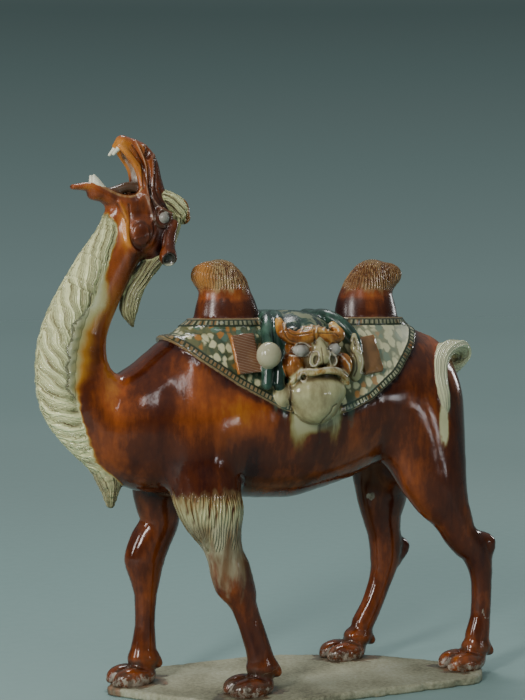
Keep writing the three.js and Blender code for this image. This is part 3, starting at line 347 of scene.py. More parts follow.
# Each leg is one limb from deep in the trunk to its fetlock. The near foreleg wears a cuff of long hair.
LEGS = [
    limb(3, [
        (-21.5, -5.6, 47, 7, 4.6), (-22, -6.8, 41, 6.4, 4.4), (-21.7, -7.8, 36.6, 6.4, 4.4),
        (-20.8, -8.4, 33.2, 5.7, 4.4), (-20, -8.7, 30.2, 4.35, 3.8), (-19.2, -8.9, 27.6, 3.6, 3.1),
        (-18.4, -8.9, 25, 3.4, 2.8), (-17.6, -9, 22.5, 3.8, 2.9), (-16.95, -9, 20.5, 3.75, 2.8),
        (-15.65, -9, 18.2, 3.05, 2.4), (-14.95, -9, 16.2, 2.4, 2.1), (-13.85, -9, 13.2, 2.25, 1.9),
        (-12.2, -9, 8.5, 2.3, 2), (-11.4, -9, 5.6, 2.5, 2.2),
    ], carve=cuff),
    *foot(FEET["leftFore"], [-11.1, 4.4]),
    limb(3, [
        (-24, 5.6, 46, 6.2, 4.4), (-25, 6.8, 38, 5, 3.8), (-24.7, 7.4, 33.6, 4.35, 3.4),
        (-24.2, 7.6, 30.4, 3.7, 3.2), (-24.9, 7.8, 28, 3.65, 3.1), (-26.1, 7.9, 25.8, 3.9, 3.1),
        (-27.15, 7.9, 22.9, 3.9, 3), (-27.05, 7.9, 19.3, 2.85, 2.4), (-27, 7.9, 16.4, 2.15, 1.9),
        (-27.1, 7.9, 13.1, 1.95, 1.8), (-27.15, 7.9, 10.4, 1.9, 1.7), (-27.3, 7.9, 7.6, 2.2, 1.9),
        (-27.5, 7.9, 5.4, 2.5, 2.1),
    ]),
    *foot(FEET["rightFore"], [-27.4, 4.2]),
    ball(3, [25.4, -4.8, 46.2], [8.75, 5.4, 12.8]),
    limb(3, [
        (21.5, -4.6, 53, 8.6, 4.6), (22.8, -5.8, 47, 7.8, 4.6), (24.6, -6.8, 42.2, 7.7, 4.4),
        (25.6, -7.6, 38.4, 7.4, 4.1), (26.9, -8.1, 34.5, 6, 3.8), (28.7, -8.4, 31, 4.4, 3.3),
        (29.95, -8.7, 28.5, 3.8, 2.9), (31.1, -8.8, 26.1, 3.35, 2.7), (32.7, -9, 24, 3.1, 2.5),
        (34.25, -9, 22.5, 2.85, 2.4), (35.7, -9.1, 19.5, 2.5, 2.2), (36.05, -9.2, 16.3, 2.05, 1.9),
        (36.05, -9.2, 13.1, 1.95, 1.8), (35.8, -9.2, 9.4, 2, 1.8), (35.15, -9.2, 5.9, 2.5, 2.1),
    ]),
    limb(0.8, [(34.6, -9, 25.4, 1, 1.1), (37.5, -9, 23.6, 1.65, 1.5), (36.9, -9.1, 20.4, 1.1, 1.2)]),
    *foot(FEET["leftHind"], [34.9, 3.7]),
    ball(3, [25.2, 4.8, 46.4], [8.7, 5.4, 12.8]),
    limb(3, [
        (20.5, 4.6, 52, 8.6, 4.6), (21.8, 6, 45, 7, 4.6), (22.8, 7.2, 40.4, 6.6, 4.2),
        (23.6, 7.8, 36.2, 6.2, 4), (24, 8.2, 31.8, 5.4, 3.6), (24.1, 8.4, 28.2, 4.2, 3.1),
        (24.6, 8.4, 24.6, 3.5, 2.7), (25, 8.4, 21.9, 3.5, 2.5), (24.9, 8.4, 19.3, 3.2, 2.4),
        (24.55, 8.4, 17.1, 2.75, 2.2), (23.5, 8.4, 13.8, 2.3, 2), (21.8, 8.4, 9.8, 2.15, 1.9),
        (19.75, 8.4, 6.2, 2.3, 2),
    ]),
    limb(0.8, [(26.6, 8.4, 22.8, 1, 1.1), (29.1, 8.4, 21.1, 1.3, 1.3), (27.4, 8.4, 18.2, 1, 1.1)]),
    *foot(FEET["rightHind"], [18.8, 3.9]),
]

# The tail, curled over to the near side.
TAIL = [
    limb(0.7, [
        (33.2, 0.8, 56.6, 1.4, 1.9), (35.6, 0.5, 57.2, 1.1, 2.2), (37, 0, 58.8, 1, 2.3),
        (36.6, -0.8, 60.6, 1, 2.2), (34.6, -2.2, 61.5, 1.1, 2.1), (31.6, -4, 61.3, 1.4, 1.9),
        (28.9, -5.9, 60.2, 1.7, 1.7), (27.1, -7.6, 58, 1.9, 1.6), (26.5, -8.9, 55.2, 1.8, 1.5),
        (26.6, -9.7, 52.7, 1.5, 1.5), (26.8, -9.9, 50.8, 1, 1.1), (27, -9.9, 49.4, 0.4, 0.5),
    ], across=[0.5, -0.8, 0.33], carve=long_locks(1.3, 0.12)),
]

# The cloth's lower edge from front to rear, as x and z.
CLOTH_EDGE = [
    (-27.4, 67), (-27.2, 64), (-22.8, 60.2), (-16.2, 55.6), (-8, 51), (-1, 49.4), (5, 50.4), (10.4, 52.5),
    (16.6, 56.8), (21.2, 61.8), (24.6, 66.4),
]


def roll(shift):
    """A green roll that hangs over the load."""
    return limb(0.3, [
        (-7.2 + shift, 1, 67.8, 1.15, 1.1), (-8.2 + shift, -4.2, 67.5, 1.15, 1.1),
        (-9.8 + shift, -8, 65, 1.1, 1.1), (-10.9 + shift, -10.7, 61, 1.1, 1.1),
        (-11.8 + shift, -12.1, 55.8, 1.1, 1.1),
    ], across=[1, 0, 0])


# The bag, the two boards, the two rolls, the flask, and the strap behind the mask.
LOAD = [
    limb(0.8, [
        (-2, 1, 66.2, 2.6, 6.4), (-2.2, -4.5, 66, 2.6, 6.4), (-2.6, -8.6, 63.2, 2.5, 6.3),
        (-2.4, -10.8, 59, 2.3, 6), (-2, -11.8, 55, 2.4, 5.2),
    ], across=[1, 0, 0]),
    board(0.2, [-15, -9.9, 61.2], [2.3, BOARD_HALF, 3.6], -17, -5),
    board(0.2, [10.5, -9.7, 60.6], [2, BOARD_HALF, 3.5], -17, -9),
    roll(0),
    roll(2.35),
    ball(0.3, [-11.5, -12.3, 61], [2.3, 2, 2.35]),
    limb(0.5, [
        (4.4, 1, 67.6, 1.2, 1.3), (4.2, -2.5, 67.9, 1.2, 1.3), (4.7, -5, 67.6, 1.2, 1.3),
        (6.1, -7.6, 66.2, 1.1, 1.2), (7.5, -9.4, 63.8, 0.9, 1.1), (7.8, -10.4, 61, 0.8, 1),
    ], across=[1, 0, 0]),
]

# The beast mask: lobe, dome, cheeks, brows, eyes in sockets, nose, lip, mouth, and the hand-like lobe.
MASK = [
    ball(0.8, [-2, -12, 54.2], [6, 3.9, 3.5]),
    ball(1, [-1.8, -11.7, 52.2], [4.5, 3.9, 3.8]),
    ball(0.6, [-8.4, -11.4, 53.8], [1.7, 1.5, 2.2]),
    ball(1, [-2.4, -11.8, 61.4], [5.4, 2.3, 4.8]),
    ball(0.6, [-6.8, -12.5, 59], [2, 2, 2.4]),
    ball(0.6, [3.4, -12.3, 58.9], [1.8, 2, 2.3]),
    limb(0.35, [
        (-8.6, -10.4, 67, 0.7, 0.7), (-8.4, -12, 65, 1.2, 1.1), (-6.3, -13, 63.9, 1.3, 1.1),
        (-3.9, -13.4, 64.3, 1.2, 1), (-2.3, -13.3, 65.1, 0.7, 0.7),
    ]),
    limb(0.35, [
        (2.3, -10.7, 66.2, 0.7, 0.7), (2.9, -12, 64.5, 1.1, 1), (1.1, -13, 63.9, 1.2, 1.1),
        (-0.6, -13.4, 64.4, 1.1, 1), (-1.8, -13.3, 65.1, 0.7, 0.7),
    ]),
    ball(0.3, [-5.7, -14.4, 61.8], [1.9, 0.9, 1.35], cut=True),
    ball(0.3, [0.9, -14.4, 61.9], [1.7, 0.9, 1.35], cut=True),
    ball(0.1, [-5.7, -13.5, 61.8], [1.5, 1.15, 1.05]),
    ball(0.1, [0.9, -13.5, 61.9], [1.35, 1.15, 1.05]),
    limb(0.5, [[-2.1, -13.3, 63.4, 0.8, 0.8], [-2, -14.7, 60.7, 1.5, 1.6]]),
    ball(0.3, [-3.5, -14.6, 60.1], [1.3, 1, 1.3]),
    ball(0.3, [-0.3, -14.6, 60.1], [1.3, 1, 1.3]),
    ball(0.2, [-3.6, -15.6, 60.1], [0.65, 0.7, 0.95], cut=True),
    ball(0.2, [-0.1, -15.6, 60.1], [0.65, 0.7, 0.95], cut=True),
    limb(0.35, [
        (-7.3, -13.2, 56.2, 0.5, 0.5), (-6.2, -14.2, 57.7, 0.5, 0.45), (-4.2, -14.8, 58.1, 0.5, 0.45),
        (-0.6, -15.1, 58.3, 0.5, 0.45), (2, -14.3, 57.7, 0.5, 0.45), (3.5, -13.2, 55.9, 0.5, 0.5),
    ]),
    limb(0.3, [
        (-5.4, -15.6, 56.8, 0.25, 0.25), (-3.4, -16.2, 57.5, 0.25, 0.25), (-0.6, -16.4, 57.7, 0.25, 0.25),
        (1.9, -15.5, 56.8, 0.25, 0.25),
    ], cut=True),
    ball(0.2, [-6.7, -14.6, 56.4], [0.5, 0.7, 0.6], cut=True),
    limb(0.4, [
        (6.9, -11, 57, 1.2, 1), (7, -11.3, 59.3, 1.5, 1.1), (6.7, -11.3, 61.8, 1, 0.9),
        (6.6, -11, 64.3, 0.4, 0.5),
    ]),
    ball(0.2, [6.7, -12.4, 62.7], [0.5, 0.6, 1.3], cut=True),
]

# The load and the mask are the same on both sides.
for shape in LOAD + MASK:
    shape.mirror = True

MANE, NAPE = NECK[1], NECK[2]
MOUTH, PALATE, TONGUE, LOWER_TOOTH, UPPER_TOOTH = HEAD[6:11]
EYE, FORELOCK, EAR, EAR_HOLE = HEAD[14:18]
BAG, FRONT_BOARD, REAR_BOARD, ROLL, SECOND_ROLL, FLASK, STRAP = LOAD
NEAR_FORELEG = LEGS[0]


def inside_edge(x, z):
    """How far a point lies inside the cloth's lower edge, seen from the side, and how far along the edge."""
    nearest = np.full(len(x), FAR, np.float32)
    along = np.zeros(len(x), np.float32)
    below = np.zeros(len(x), bool)
    walked = 0.0
    for (ax, az), (bx, bz) in zip(CLOTH_EDGE, CLOTH_EDGE[1:]):
        length = math.hypot(bx - ax, bz - az)
        t = np.clip(((x - ax) * (bx - ax) + (z - az) * (bz - az)) / length**2, 0, 1)
        d = np.hypot(x - ax - t * (bx - ax), z - az - t * (bz - az))
        won = d < nearest
        nearest = np.where(won, d, nearest)
        along = np.where(won, walked + t * length, along)
        below = np.where((x >= ax) & (x < bx), z < az + (bz - az) * (x - ax) / (bx - ax), below)
        walked += length
    outside = below | (x < CLOTH_EDGE[0][0]) | (x >= CLOTH_EDGE[-1][0])
    return np.where(outside, -nearest, nearest), along


def inside_collar(points):
    """How far a point lies from the cloth's upper edge, round the humps and over the back."""
    humps = np.minimum(*(shape.read(points, 9.0)[0] for shape in (FRONT_HUMP, REAR_HUMP)))
    return np.maximum(humps - COLLAR_GAP, COLLAR_HEIGHT - points[:, 2])


def add_shapes(values, points, shapes):
    for shape in shapes:
        sign = -1 if shape.cut else 1
        values = sign * smooth_min(sign * values, shape.read(points, shape.blend + 0.9)[0], shape.blend)
    return values


def field_of(points, shapes):
    return add_shapes(np.full(len(points), FAR, np.float32), points, shapes)


def cloth_field(trunk, points):
    inside, _ = inside_edge(points[:, 0], points[:, 2])
    collar = inside_collar(points)
    border = BORDER_RAISE * (1 - ramp(BORDER_WIDTH * 0.85, BORDER_WIDTH, np.minimum(inside, collar)))
    return np.maximum(np.maximum(trunk - CLOTH - border, -inside), -collar)


def figure_field(points):
    """The figure's field at the points: below zero inside it."""
    points = np.ascontiguousarray(points, np.float32)
    values = field_of(points, TRUNK)
    over = np.nonzero(((points > (-30, -15, 48)) & (points < (26, 15, 71))).all(1))[0]
    under = cloth_field(values[over], points[over])
    values = add_shapes(values, points, NECK + HEAD + LEGS)
    values = np.maximum(values, -SOLE_DEPTH / UNIT - points[:, 2])
    values[over] = np.minimum(values[over], under)
    return add_shapes(values, points, LOAD + MASK + TAIL)


def surface_net(field, low, high, step, block=4):
    """The zero surface of a field in a box, as points and four-cornered faces."""
    low = np.array(low, float)
    blocks = np.ceil((np.array(high) - low) / (step * block)).astype(int)
    centres = np.stack(np.meshgrid(*map(np.arange, blocks), indexing="ij"), -1).reshape(-1, 3)
    at_centres = field(low + (centres + 0.5) * block * step).reshape(blocks)
    flagged, filled = np.abs(at_centres) < block * step * 1.15, at_centres < 0
    for axis in range(3):
        flagged, filled = np.repeat(flagged, block, axis), np.repeat(filled, block, axis)
    counts = blocks * block
    corners = np.array([(i, j, k) for k in (0, 1) for j in (0, 1) for i in (0, 1)])

    def part(grid, corner):
        return grid[tuple(slice(c, c + n) for c, n in zip(corner, counts))]

    needed = np.zeros(counts + 1, bool)
    values = np.ones(counts + 1, np.float32)
    for corner in corners:
        part(needed, corner)[flagged] = True
        part(values, corner)[filled] = -1
    values[needed] = field(low + np.stack(np.nonzero(needed), 1) * step)
    inside = values < 0
    full = sum(part(inside, corner).astype(np.uint8) for corner in corners)
    active = (full > 0) & (full < 8)
    cells = np.stack(np.nonzero(active), 1)
    number = np.full(counts, -1, np.int32)
    number[active] = np.arange(len(cells))
    total, crossings = np.zeros((len(cells), 3)), np.zeros(len(cells))
    at_corners = [(corner, values[tuple((cells + corner).T)]) for corner in corners]
    for (ca, a), (cb, b) in combinations(at_corners, 2):
        if np.abs(ca - cb).sum() == 1:
            crossed = (a < 0) != (b < 0)
            t = np.where(crossed, a / np.where(crossed, a - b, 1), 0)[:, None]
            total += crossed[:, None] * (ca + t * (cb - ca))
            crossings += crossed
    points = low + (cells + total / crossings[:, None]) * step
    faces = []
    for axis in range(3):
        ahead, u, v = (np.roll(way, axis) for way in ([1, 0, 0], [0, 1, 0], [0, 0, 1]))
        changed = part(inside, 0 * ahead) != part(inside, ahead)
        changed[:1] &= axis == 0
        changed[:, :1] &= axis == 1
        changed[:, :, :1] &= axis == 2
        e = np.stack(np.nonzero(changed), 1)
        quad = np.stack([number[tuple((e - s).T)] for s in (u + v, v, 0 * u, u)], 1)
        turned = ~inside[tuple(e.T)]
        quad[turned] = quad[turned][:, ::-1]
        faces.append(quad)
    return points, np.concatenate(faces)


def largest_part(points, faces):
    """The part of the mesh that hangs together and has the most points."""
    label, before = np.arange(len(points)), None
    edges = np.concatenate([faces[:, [i, (i + 1) % 4]] for i in range(4)])
    while not np.array_equal(label, before):
        before = label.copy()
        lowest = label[edges].min(1)
        for end in (0, 1):
            np.minimum.at(label, edges[:, end], lowest)
        label = label[label]
    kept = label == np.bincount(label).argmax()
    order = np.cumsum(kept) - 1
    return points[kept], order[faces[kept[faces[:, 0]]]]


def normals_of(points, faces):
    """Unit normals at the points of a mesh of four-cornered faces."""
    a, b, c, d = (points[faces[:, i]] for i in range(4))
    across = np.repeat(np.cross(c - a, d - b), 4, 0)
    total = np.stack([np.bincount(faces.ravel(), across[:, i], len(points)) for i in range(3)], 1)
    return total / np.maximum(np.linalg.norm(total, axis=1, keepdims=True), 1e-9)


def smoothed(points, faces, share):
    """Each point moved part of the way to the mean of its neighbours."""
    ahead, behind = faces.ravel(), np.roll(faces, -1, 1).ravel()
    size = len(points)
    count = np.bincount(ahead, minlength=size) + np.bincount(behind, minlength=size)
    sums = [np.bincount(ahead, c[behind], size) + np.bincount(behind, c[ahead], size) for c in points.T]
    return points + share * (np.stack(sums, 1) / count[:, None] - points)


def onto_surface(field, points, normals, most):
    """The points moved along their normals onto the field's zero surface, by `most` in all."""
    first = field(points)
    step = np.clip(-first, -most, most)
    moved = points + normals * step[:, None]
    second = field(moved)
    differ = np.abs(first - second) > 1e-5
    more = np.where(differ, second * step / np.where(differ, first - second, 1), 0)
    return moved + normals * np.clip(more, -most, most)[:, None]


def refined(points, faces, chosen):
    """The chosen faces cut in four, with their neighbours taking the new points on their edges."""
    size, picked, others = len(points), faces[chosen], faces[~chosen]

    def codes(f):
        ahead = np.roll(f, -1, 1)
        return np.minimum(f, ahead).astype(np.int64) * size + np.maximum(f, ahead)

    unique, where = np.unique(codes(picked), return_inverse=True)
    halves = (points[unique // size] + points[unique % size]) / 2
    new = np.concatenate([points, halves, points[picked].mean(1)])
    m = size + where.reshape(picked.shape)
    e = size + len(unique) + np.arange(len(picked))
    small = np.concatenate([np.stack([picked[:, i], m[:, i], e, m[:, i - 1]], 1) for i in range(4)])
    wanted = codes(others)
    found = np.clip(np.searchsorted(unique, wanted), 0, len(unique) - 1)
    has = unique[found] == wanted
    touched = has.any(1)
    ragged = []
    for face, hit, place in zip(others[touched], has[touched], found[touched]):
        ragged.append([])
        for i in range(4):
            ragged[-1] += [int(face[i]), size + int(place[i])][: 1 + hit[i]]
    return new, np.concatenate([others[~touched], small]), ragged


# Modelled lines: kind, height, half-width, then their points' x and z.
# Kind P is pale, D dark and A amber, and N takes the colour round it. Pale lines on the camel's head are
# painted highlights along its ridges; on the masks they are cream glaze.
HEAD_LINES = [
    ("P", 0.2, 0.3, -33.3, 98.9, -32.4, 97.4, -31.7, 95.8, -31.2, 94, -31.1, 92, -30.9, 90.2, -30.5, 88.4),
    ("P", 0.22, 0.5, -31.2, 89.4, -30.6, 88, -30.1, 86.4, -29.8, 85),
    ("P", 0.22, 0.34, -30.2, 90.5, -29.9, 89, -29, 87.7, -27.6, 86.7, -25.9, 86.1),
    ("P", 0.12, 0.22, -30.1, 96.4, -29.9, 95, -29.9, 92.5, -29.9, 90.5),
    ("P", 0.18, 0.26, -31.9, 98, -30.9, 98.2, -30, 97.2, -29.7, 96),
    ("D", -0.24, 0.34, -33.8, 98, -32.8, 96.2, -32, 94.6, -31.7, 92.4, -31.6, 90.6),
    ("D", -0.24, 0.34, -32.1, 97.6, -31.2, 95.8, -30.7, 94, -30.6, 91.6, -30.2, 89.3, -29.4, 87.2, -28.9,
     85.8),
    ("D", -0.2, 0.3, -29.4, 95.6, -29.4, 93, -29.4, 90.6, -28.8, 89.2, -27.8, 87.8, -26.7, 86.9),
    ("D", -0.16, 0.26, -28.6, 90.6, -27.9, 89.2, -27, 88, -26, 87.3),
    ("N", 0.22, 0.7, -36.2, 88, -35.2, 85.5, -34.9, 82.8, -34.4, 80.8, -33.2, 79.4),
    ("D", -0.2, 0.34, -36.6, 87.6, -35.6, 86, -34.9, 84.6),
    ("N", -0.2, 0.36, -34.4, 87.6, -34.1, 85, -34.1, 82.5, -33.4, 80.4, -32.1, 79.6),
    ("A", 0.2, 0.34, -40.4, 91.1, -37, 89.5, -34.6, 89, -32.9, 89.4, -31.9, 90.6),
    ("N", -0.16, 0.32, -29.6, 84.6, -29.5, 82.8, -30.2, 80.8),
    ("N", 0.18, 0.3, -29.2, 86.1, -29.3, 84.9, -28.6, 83.9, -27.4, 83.7),
    ("D", -0.14, 0.26, -26.9, 84.6, -27.3, 82.6, -27.7, 80.4),
    ("N", 0.1, 0.25, -33.2, 81.6, -32.4, 81.9, -31.5, 82.2),
]
MASK_LINES = [
    ("P", 0.24, 0.32, -9.3, 65.8, -9, 67.2, -7.8, 67.7, -6.8, 67.2, -6.6, 66.3, -7.2, 65.8, -7.9, 66.2),
    ("P", 0.22, 0.28, -5.9, 65.3, -5.2, 66.2, -4.3, 66.6, -3.7, 66.1, -4, 65.5),
    ("P", 0.22, 0.28, -3, 65, -2.6, 66, -1.7, 66.4, -1.1, 65.9, -1.4, 65.4),
    ("P", 0.18, 0.26, -0.5, 65.3, 0.2, 66, 1.1, 66, 1.8, 65.3),
    ("P", 0.14, 0.24, -9.2, 68, -6, 68.6, -3, 68.3, -0.5, 67.3),
    ("P", 0.14, 0.22, -6.2, 67.5, -4, 67.7, -1.5, 66.9, 0.4, 66.6),
    ("D", -0.16, 0.24, -5.8, 66.9, -4.3, 67.15, -2.6, 66.8),
    ("D", -0.16, 0.26, -9.6, 66.8, -9.2, 64.8, -8.2, 63.6, -6.4, 63.1),
    ("D", -0.16, 0.24, -8.7, 66.2, -8.3, 65.1, -7.1, 64.6, -5.4, 64.8, -3.8, 65),
    ("D", -0.14, 0.22, -2.4, 64.9, -0.8, 64.8, 0.8, 64.8, 1.7, 64.2),
    ("D", -0.24, 0.32, -3.3, 65.4, -3.1, 64.2, -3.2, 63),
    ("P", 0.16, 0.26, -7.6, 61.9, -6.8, 63, -5.4, 63.15, -4.2, 62.5),
    ("P", 0.18, 0.24, -8.3, 61, -6.6, 60.8, -4.9, 60.85, -4.1, 61.5),
    ("N", 0.16, 0.24, -0.7, 62.2, 0.3, 63.3, 1.5, 62.8),
    ("P", 0.16, 0.24, -0.4, 61.6, 0.7, 60.8, 2, 60.9, 3.6, 59.4, 4.1, 58),
    ("P", 0.2, 0.26, -4.2, 59.6, -4, 60.9, -3.3, 61.6, -2.5, 61.4, -2.4, 60.2, -2.9, 59.2, -3.7, 59, -4.2,
     59.6),
    ("P", 0.18, 0.24, -0.4, 60.2, -0.1, 61.2, 0.6, 61, 1.2, 60, 0.9, 59.1, 0.2, 59, -0.4, 60.2),
    ("D", -0.1, 0.22, -1.9, 62.2, -1.7, 60.8, -1.5, 59.2),
    ("P", 0.16, 0.26, -6.6, 56.6, -6.4, 58, -5.2, 58.5, -3, 58.3, 0, 58.7, 2, 58.3, 3.8, 57.1, 4.1, 55.8),
    ("A", 0.4, 0.6, -4.6, 57.2, -3.4, 57.5, -2, 57.9, 0, 57.95, 2, 57.5, 3.4, 56.5, 3.7, 55.6),
    ("P", 0.2, 0.26, -6.3, 57, -6, 57.7, -5.3, 57.8, -4.8, 57.2, -5, 56.5, -5.7, 56.3, -6.3, 57),
    ("A", -0.1, 0.3, -5.7, 57.2, -5.3, 56.9),
    ("D", -0.14, 0.18, 1.3, 52.1, 0.5, 51.6, 0, 50.6, -1.1, 49.6, -1.9, 48.7, -2, 47.4, -2, 44.8),
    ("D", -0.2, 0.24, -8.1, 55.6, -8, 54, -8.1, 52.4, -7.4, 50.6),
    ("N", 0.14, 0.26, -8.6, 53.2, -8.1, 51.6, -7.9, 50.4),
    ("P", 0.22, 0.26, 4.5, 63.4, 5.1, 64.5, 5.7, 63, 6, 61.8),
    ("D", -0.3, 0.36, 5.1, 63.7, 5.3, 62.6),
    ("P", 0.16, 0.26, 5.6, 61.6, 6.6, 60.6, 6.8, 59, 6.4, 57.6, 7.3, 57.4),
    ("D", -0.14, 0.24, 4.2, 61.6, 5.4, 60.2, 5.6, 58.4, 5, 57),
]
# How far a point shifts along X in the photo for each unit that it lies nearer.
VIEW_SLANT = 0.496
# The spacing of the mane's locks.
LOCK_PITCH = 2.6
ONE_TURN = 6.2832
# Round the cheek and the eyes: height, darkness, half-width, then the ring's x and z and half-sizes.
HEAD_RINGS = [(-0.14, 0.3, 0.45, -32, 82.4, 1.9, 2.3), (0, 1, 0.5, -28, 85.3, 1.45, 1.5)]
MASK_RINGS = [(0, 0.6, 0.4, -5.4, 61.9, 1.9, 1.45), (0, 0.6, 0.4, 0.7, 61.9, 1.5, 1.45)]


def ring(x, z, rx, rz):
    turns = np.linspace(0, 2 * math.pi, 20)
    return np.stack([x + rx * np.cos(turns), z + rz * np.sin(turns)], 1)


def seen(p, depth, rise):
    """The x, z place where a point shows on the upright plane y = depth, from three quarters in front."""
    y = -np.abs(p[:, 1])
    return np.stack([p[:, 0] - VIEW_SLANT * (y - depth), p[:, 2] + rise * (y - depth)], 1)


def stroke(q, line, width):
    """From 0 at `width` from a line to 1 on it, in the side view."""
    share = np.zeros(len(q))
    at = np.nonzero(((q > line.min(0) - width) & (q < line.max(0) + width)).all(1))[0]
    best = np.full(len(at), FAR)
    for a, b in zip(line, line[1:]):
        way = b - a
        t = np.clip(((q[at] - a) @ way) / max(way @ way, 1e-9), 0, 1)
        best = np.minimum(best, np.linalg.norm(q[at] - a - t[:, None] * way, axis=1))
    share[at] = np.maximum(0, 1 - (best / width) ** 2) ** 2
    return share


def ripple(p, size, seed):
    """Slow unevenness of about the given size, from crossed waves."""
    made = np.random.default_rng(seed)
    total = np.zeros(len(p))
    for _ in range(5):
        way = made.normal(size=3)
        way *= 2 * np.pi / (size * made.uniform(0.7, 1.4)) / np.linalg.norm(way)
        total += np.sin(p @ way + made.uniform(0, 6.28))
    return total / 3


def notch(turns):
    """A narrow groove at each whole turn."""
    return ((1 + wave(turns)) / 2) ** 3


def modelled(p):
    """The height of the modelled lines at the points, and how pale, dark or amber they are coloured; the pale
    lines on the camel's head are painted highlights.
    """
    x, side, z = p[:, 0], np.abs(p[:, 1]), p[:, 2]
    out = np.zeros(len(p))
    shades = {kind: np.zeros(len(p)) for kind in "PDAN"}
    head = ramp(0.5, 1.2, side) * (z > 77.5) * (x < -22)
    face = (side > 9.4) * (z > 43) * (z < 70) * (x > -13) * (x < 10)
    for lines, rings, where, depth, rise, strength in (
        (HEAD_LINES, HEAD_RINGS, head, -3, -0.06, 0.5),
        (MASK_LINES, MASK_RINGS, face, -14, 0.05, 1),
    ):
        at = np.nonzero(where > 0)[0]
        q = seen(p[at], depth, rise)
        drawn = [(*line[:3], strength, smooth_line(np.reshape(line[3:], (-1, 2)), 5)) for line in lines]
        drawn += [("D", height, width, dark, ring(*place)) for height, dark, width, *place in rings]
        for kind, height, width, shade, line in drawn:
            share = stroke(q, line, width) * where[at]
            out[at] += height * share
            shades[kind][at] = np.maximum(shades[kind][at], shade * share)
    return out, shades


def mane_arc(along, side, lift):
    """How far round the mane from its parting, and the sweep of the locks down its length."""
    sweep = np.interp(along, [0, 4, 12, 24, 42, 48, MANE.total], [0, 1.2, 5.2, 15.2, 32.5, 36.5, 37.3])
    return np.abs(4 * np.arctan2(-side, -lift) - 0.3 - 0.25 * np.sin(1.9 * sweep)), sweep


def mane_limit(along):
    """The arc where the hair ends and smooth glaze begins."""
    low = ramp(31, 38, along)
    return 10.2 - 4.3 * ramp(12, 20, along) * (1 - low) - low


def mane_hair(along, side, lift):
    """Locks that sweep down and back from the parting, with strands along them."""
    arc, sweep = mane_arc(along, side, lift)
    phase = sweep - (0.62 - 0.3 * ramp(26, 36, along)) * (arc + 0.1 * arc**2)
    phase = phase + 0.12 * np.sin(arc + along * 0.8)
    gap = notch(phase / LOCK_PITCH) ** 2 * ramp(0, 1.5, arc) * (0.7 + 0.3 * np.sin(phase * 1.1 + arc))
    phase = phase + 0.3 * np.sin(phase * (2 * np.pi / LOCK_PITCH) + 1)
    fine = notch(phase / 0.8) ** 1.5 * (0.6 + 0.4 * np.sin(phase * 2.3 + arc * 0.9))
    parting = np.exp(-((arc / 0.2) ** 2)) * ramp(3, 8, along)
    height = 0.07 - 0.18 * gap - 0.13 * fine - 0.16 * parting
    return height, np.clip(0.7 * gap + 0.62 * fine + 0.8 * parting, 0, 1.2), phase / 0.42


def tuft_hair(along, side, lift):
    arc = 2.2 * np.arctan2(np.abs(side), lift) + 0.3 * np.sin(along * 0.6)
    turns = arc / 1.1 + 0.15 * np.sin(along * 1.1)
    return 0.04 - 0.2 * notch(turns) + 0.05 * wave(arc / 0.5), notch(turns) + 0.25, arc / 0.36


def tail_hair(along, side, lift):
    arc = 1.8 * np.arctan2(side, lift) + 0.2 * np.sin(along * 0.35)
    turns = arc / 0.9
    return 0.03 - 0.16 * notch(turns) + 0.03 * wave(arc / 0.45), notch(turns), arc / 0.34


def round_foreleg(x, y):
    """The angle round the top of the near foreleg."""
    return np.arctan2((x - FORELEG_X) * 0.7, -(y - FORELEG_Y))


def relief(p):
    """How far the modelling stands proud of the plain forms, the grooves between locks, and the strands."""
    x, y, z = p.T
    out = 0.035 * ripple(p, 9, 1) + 0.012 * ripple(p, 3.5, 2)
    lock, strand = np.zeros(len(p)), np.zeros(len(p))
    for shape, made in ((MANE, mane_hair), (NAPE, tuft_hair), (FORELOCK, tuft_hair), (TAIL[0], tail_hair)):
        d, along, side, lift = shape.read(p, 0.6)
        where = 1 - ramp(0.05, 0.45, d)
        if shape is MANE:
            beyond = mane_arc(along, side, lift)[0] - mane_limit(along)
            where = where * (1 - ramp(-0.3, 0.4, beyond))
            out -= 0.04 * np.exp(-(((beyond - 0.5) / 0.35) ** 2)) * (d < 0.4)
        height, between, turns = made(along, side, lift)
        out = out * (1 - where) + height * where
        lock = lock * (1 - where) + between * where
        strand = np.where(where > 0, turns, strand)
    for tip in HUMP_TIPS:
        turns = np.arctan2(np.abs(y), (x - tip) * 0.8) * 8.4 + 0.07 * wave(z / 2.3)
        here = (np.abs(x - tip) < 7) & (z > 71)
        grooves = ramp(73.0, 74.6, z + 0.3 * wave(turns * 0.7)) * (1 - ramp(77.4, 78.2, z)) * here
        out += (0.09 * wave(turns) + 0.03) * grooves
        lock += grooves * notch(turns + 0.5)
        strand = np.where(here, turns, strand)
    near = NEAR_FORELEG.read(p, 0.5)[0] < 0.4
    angle = round_foreleg(x, y)
    turns = angle * 5.0 + 0.24 * wave(z / 7 + angle * 1.3) + 0.12 * wave(z / 3.1 + angle * 2.9)
    grooves = near * ramp(25.5, 31.5, z) * (1 - ramp(36.3, 36.9, z + 0.4 * wave(turns)))
    deep = 0.62 + 0.38 * np.sin(angle * 9 + z * 0.5)
    out += (0.05 - 0.18 * notch(turns) * deep) * grooves
    lock += grooves * notch(turns) * deep
    strand = np.where(near & (z > 18) & (z < 38), angle * 11 + 0.3 * wave(z / 8 + angle * 1.5), strand)
    return out + modelled(p)[0], np.clip(lock, 0, 1.5), strand


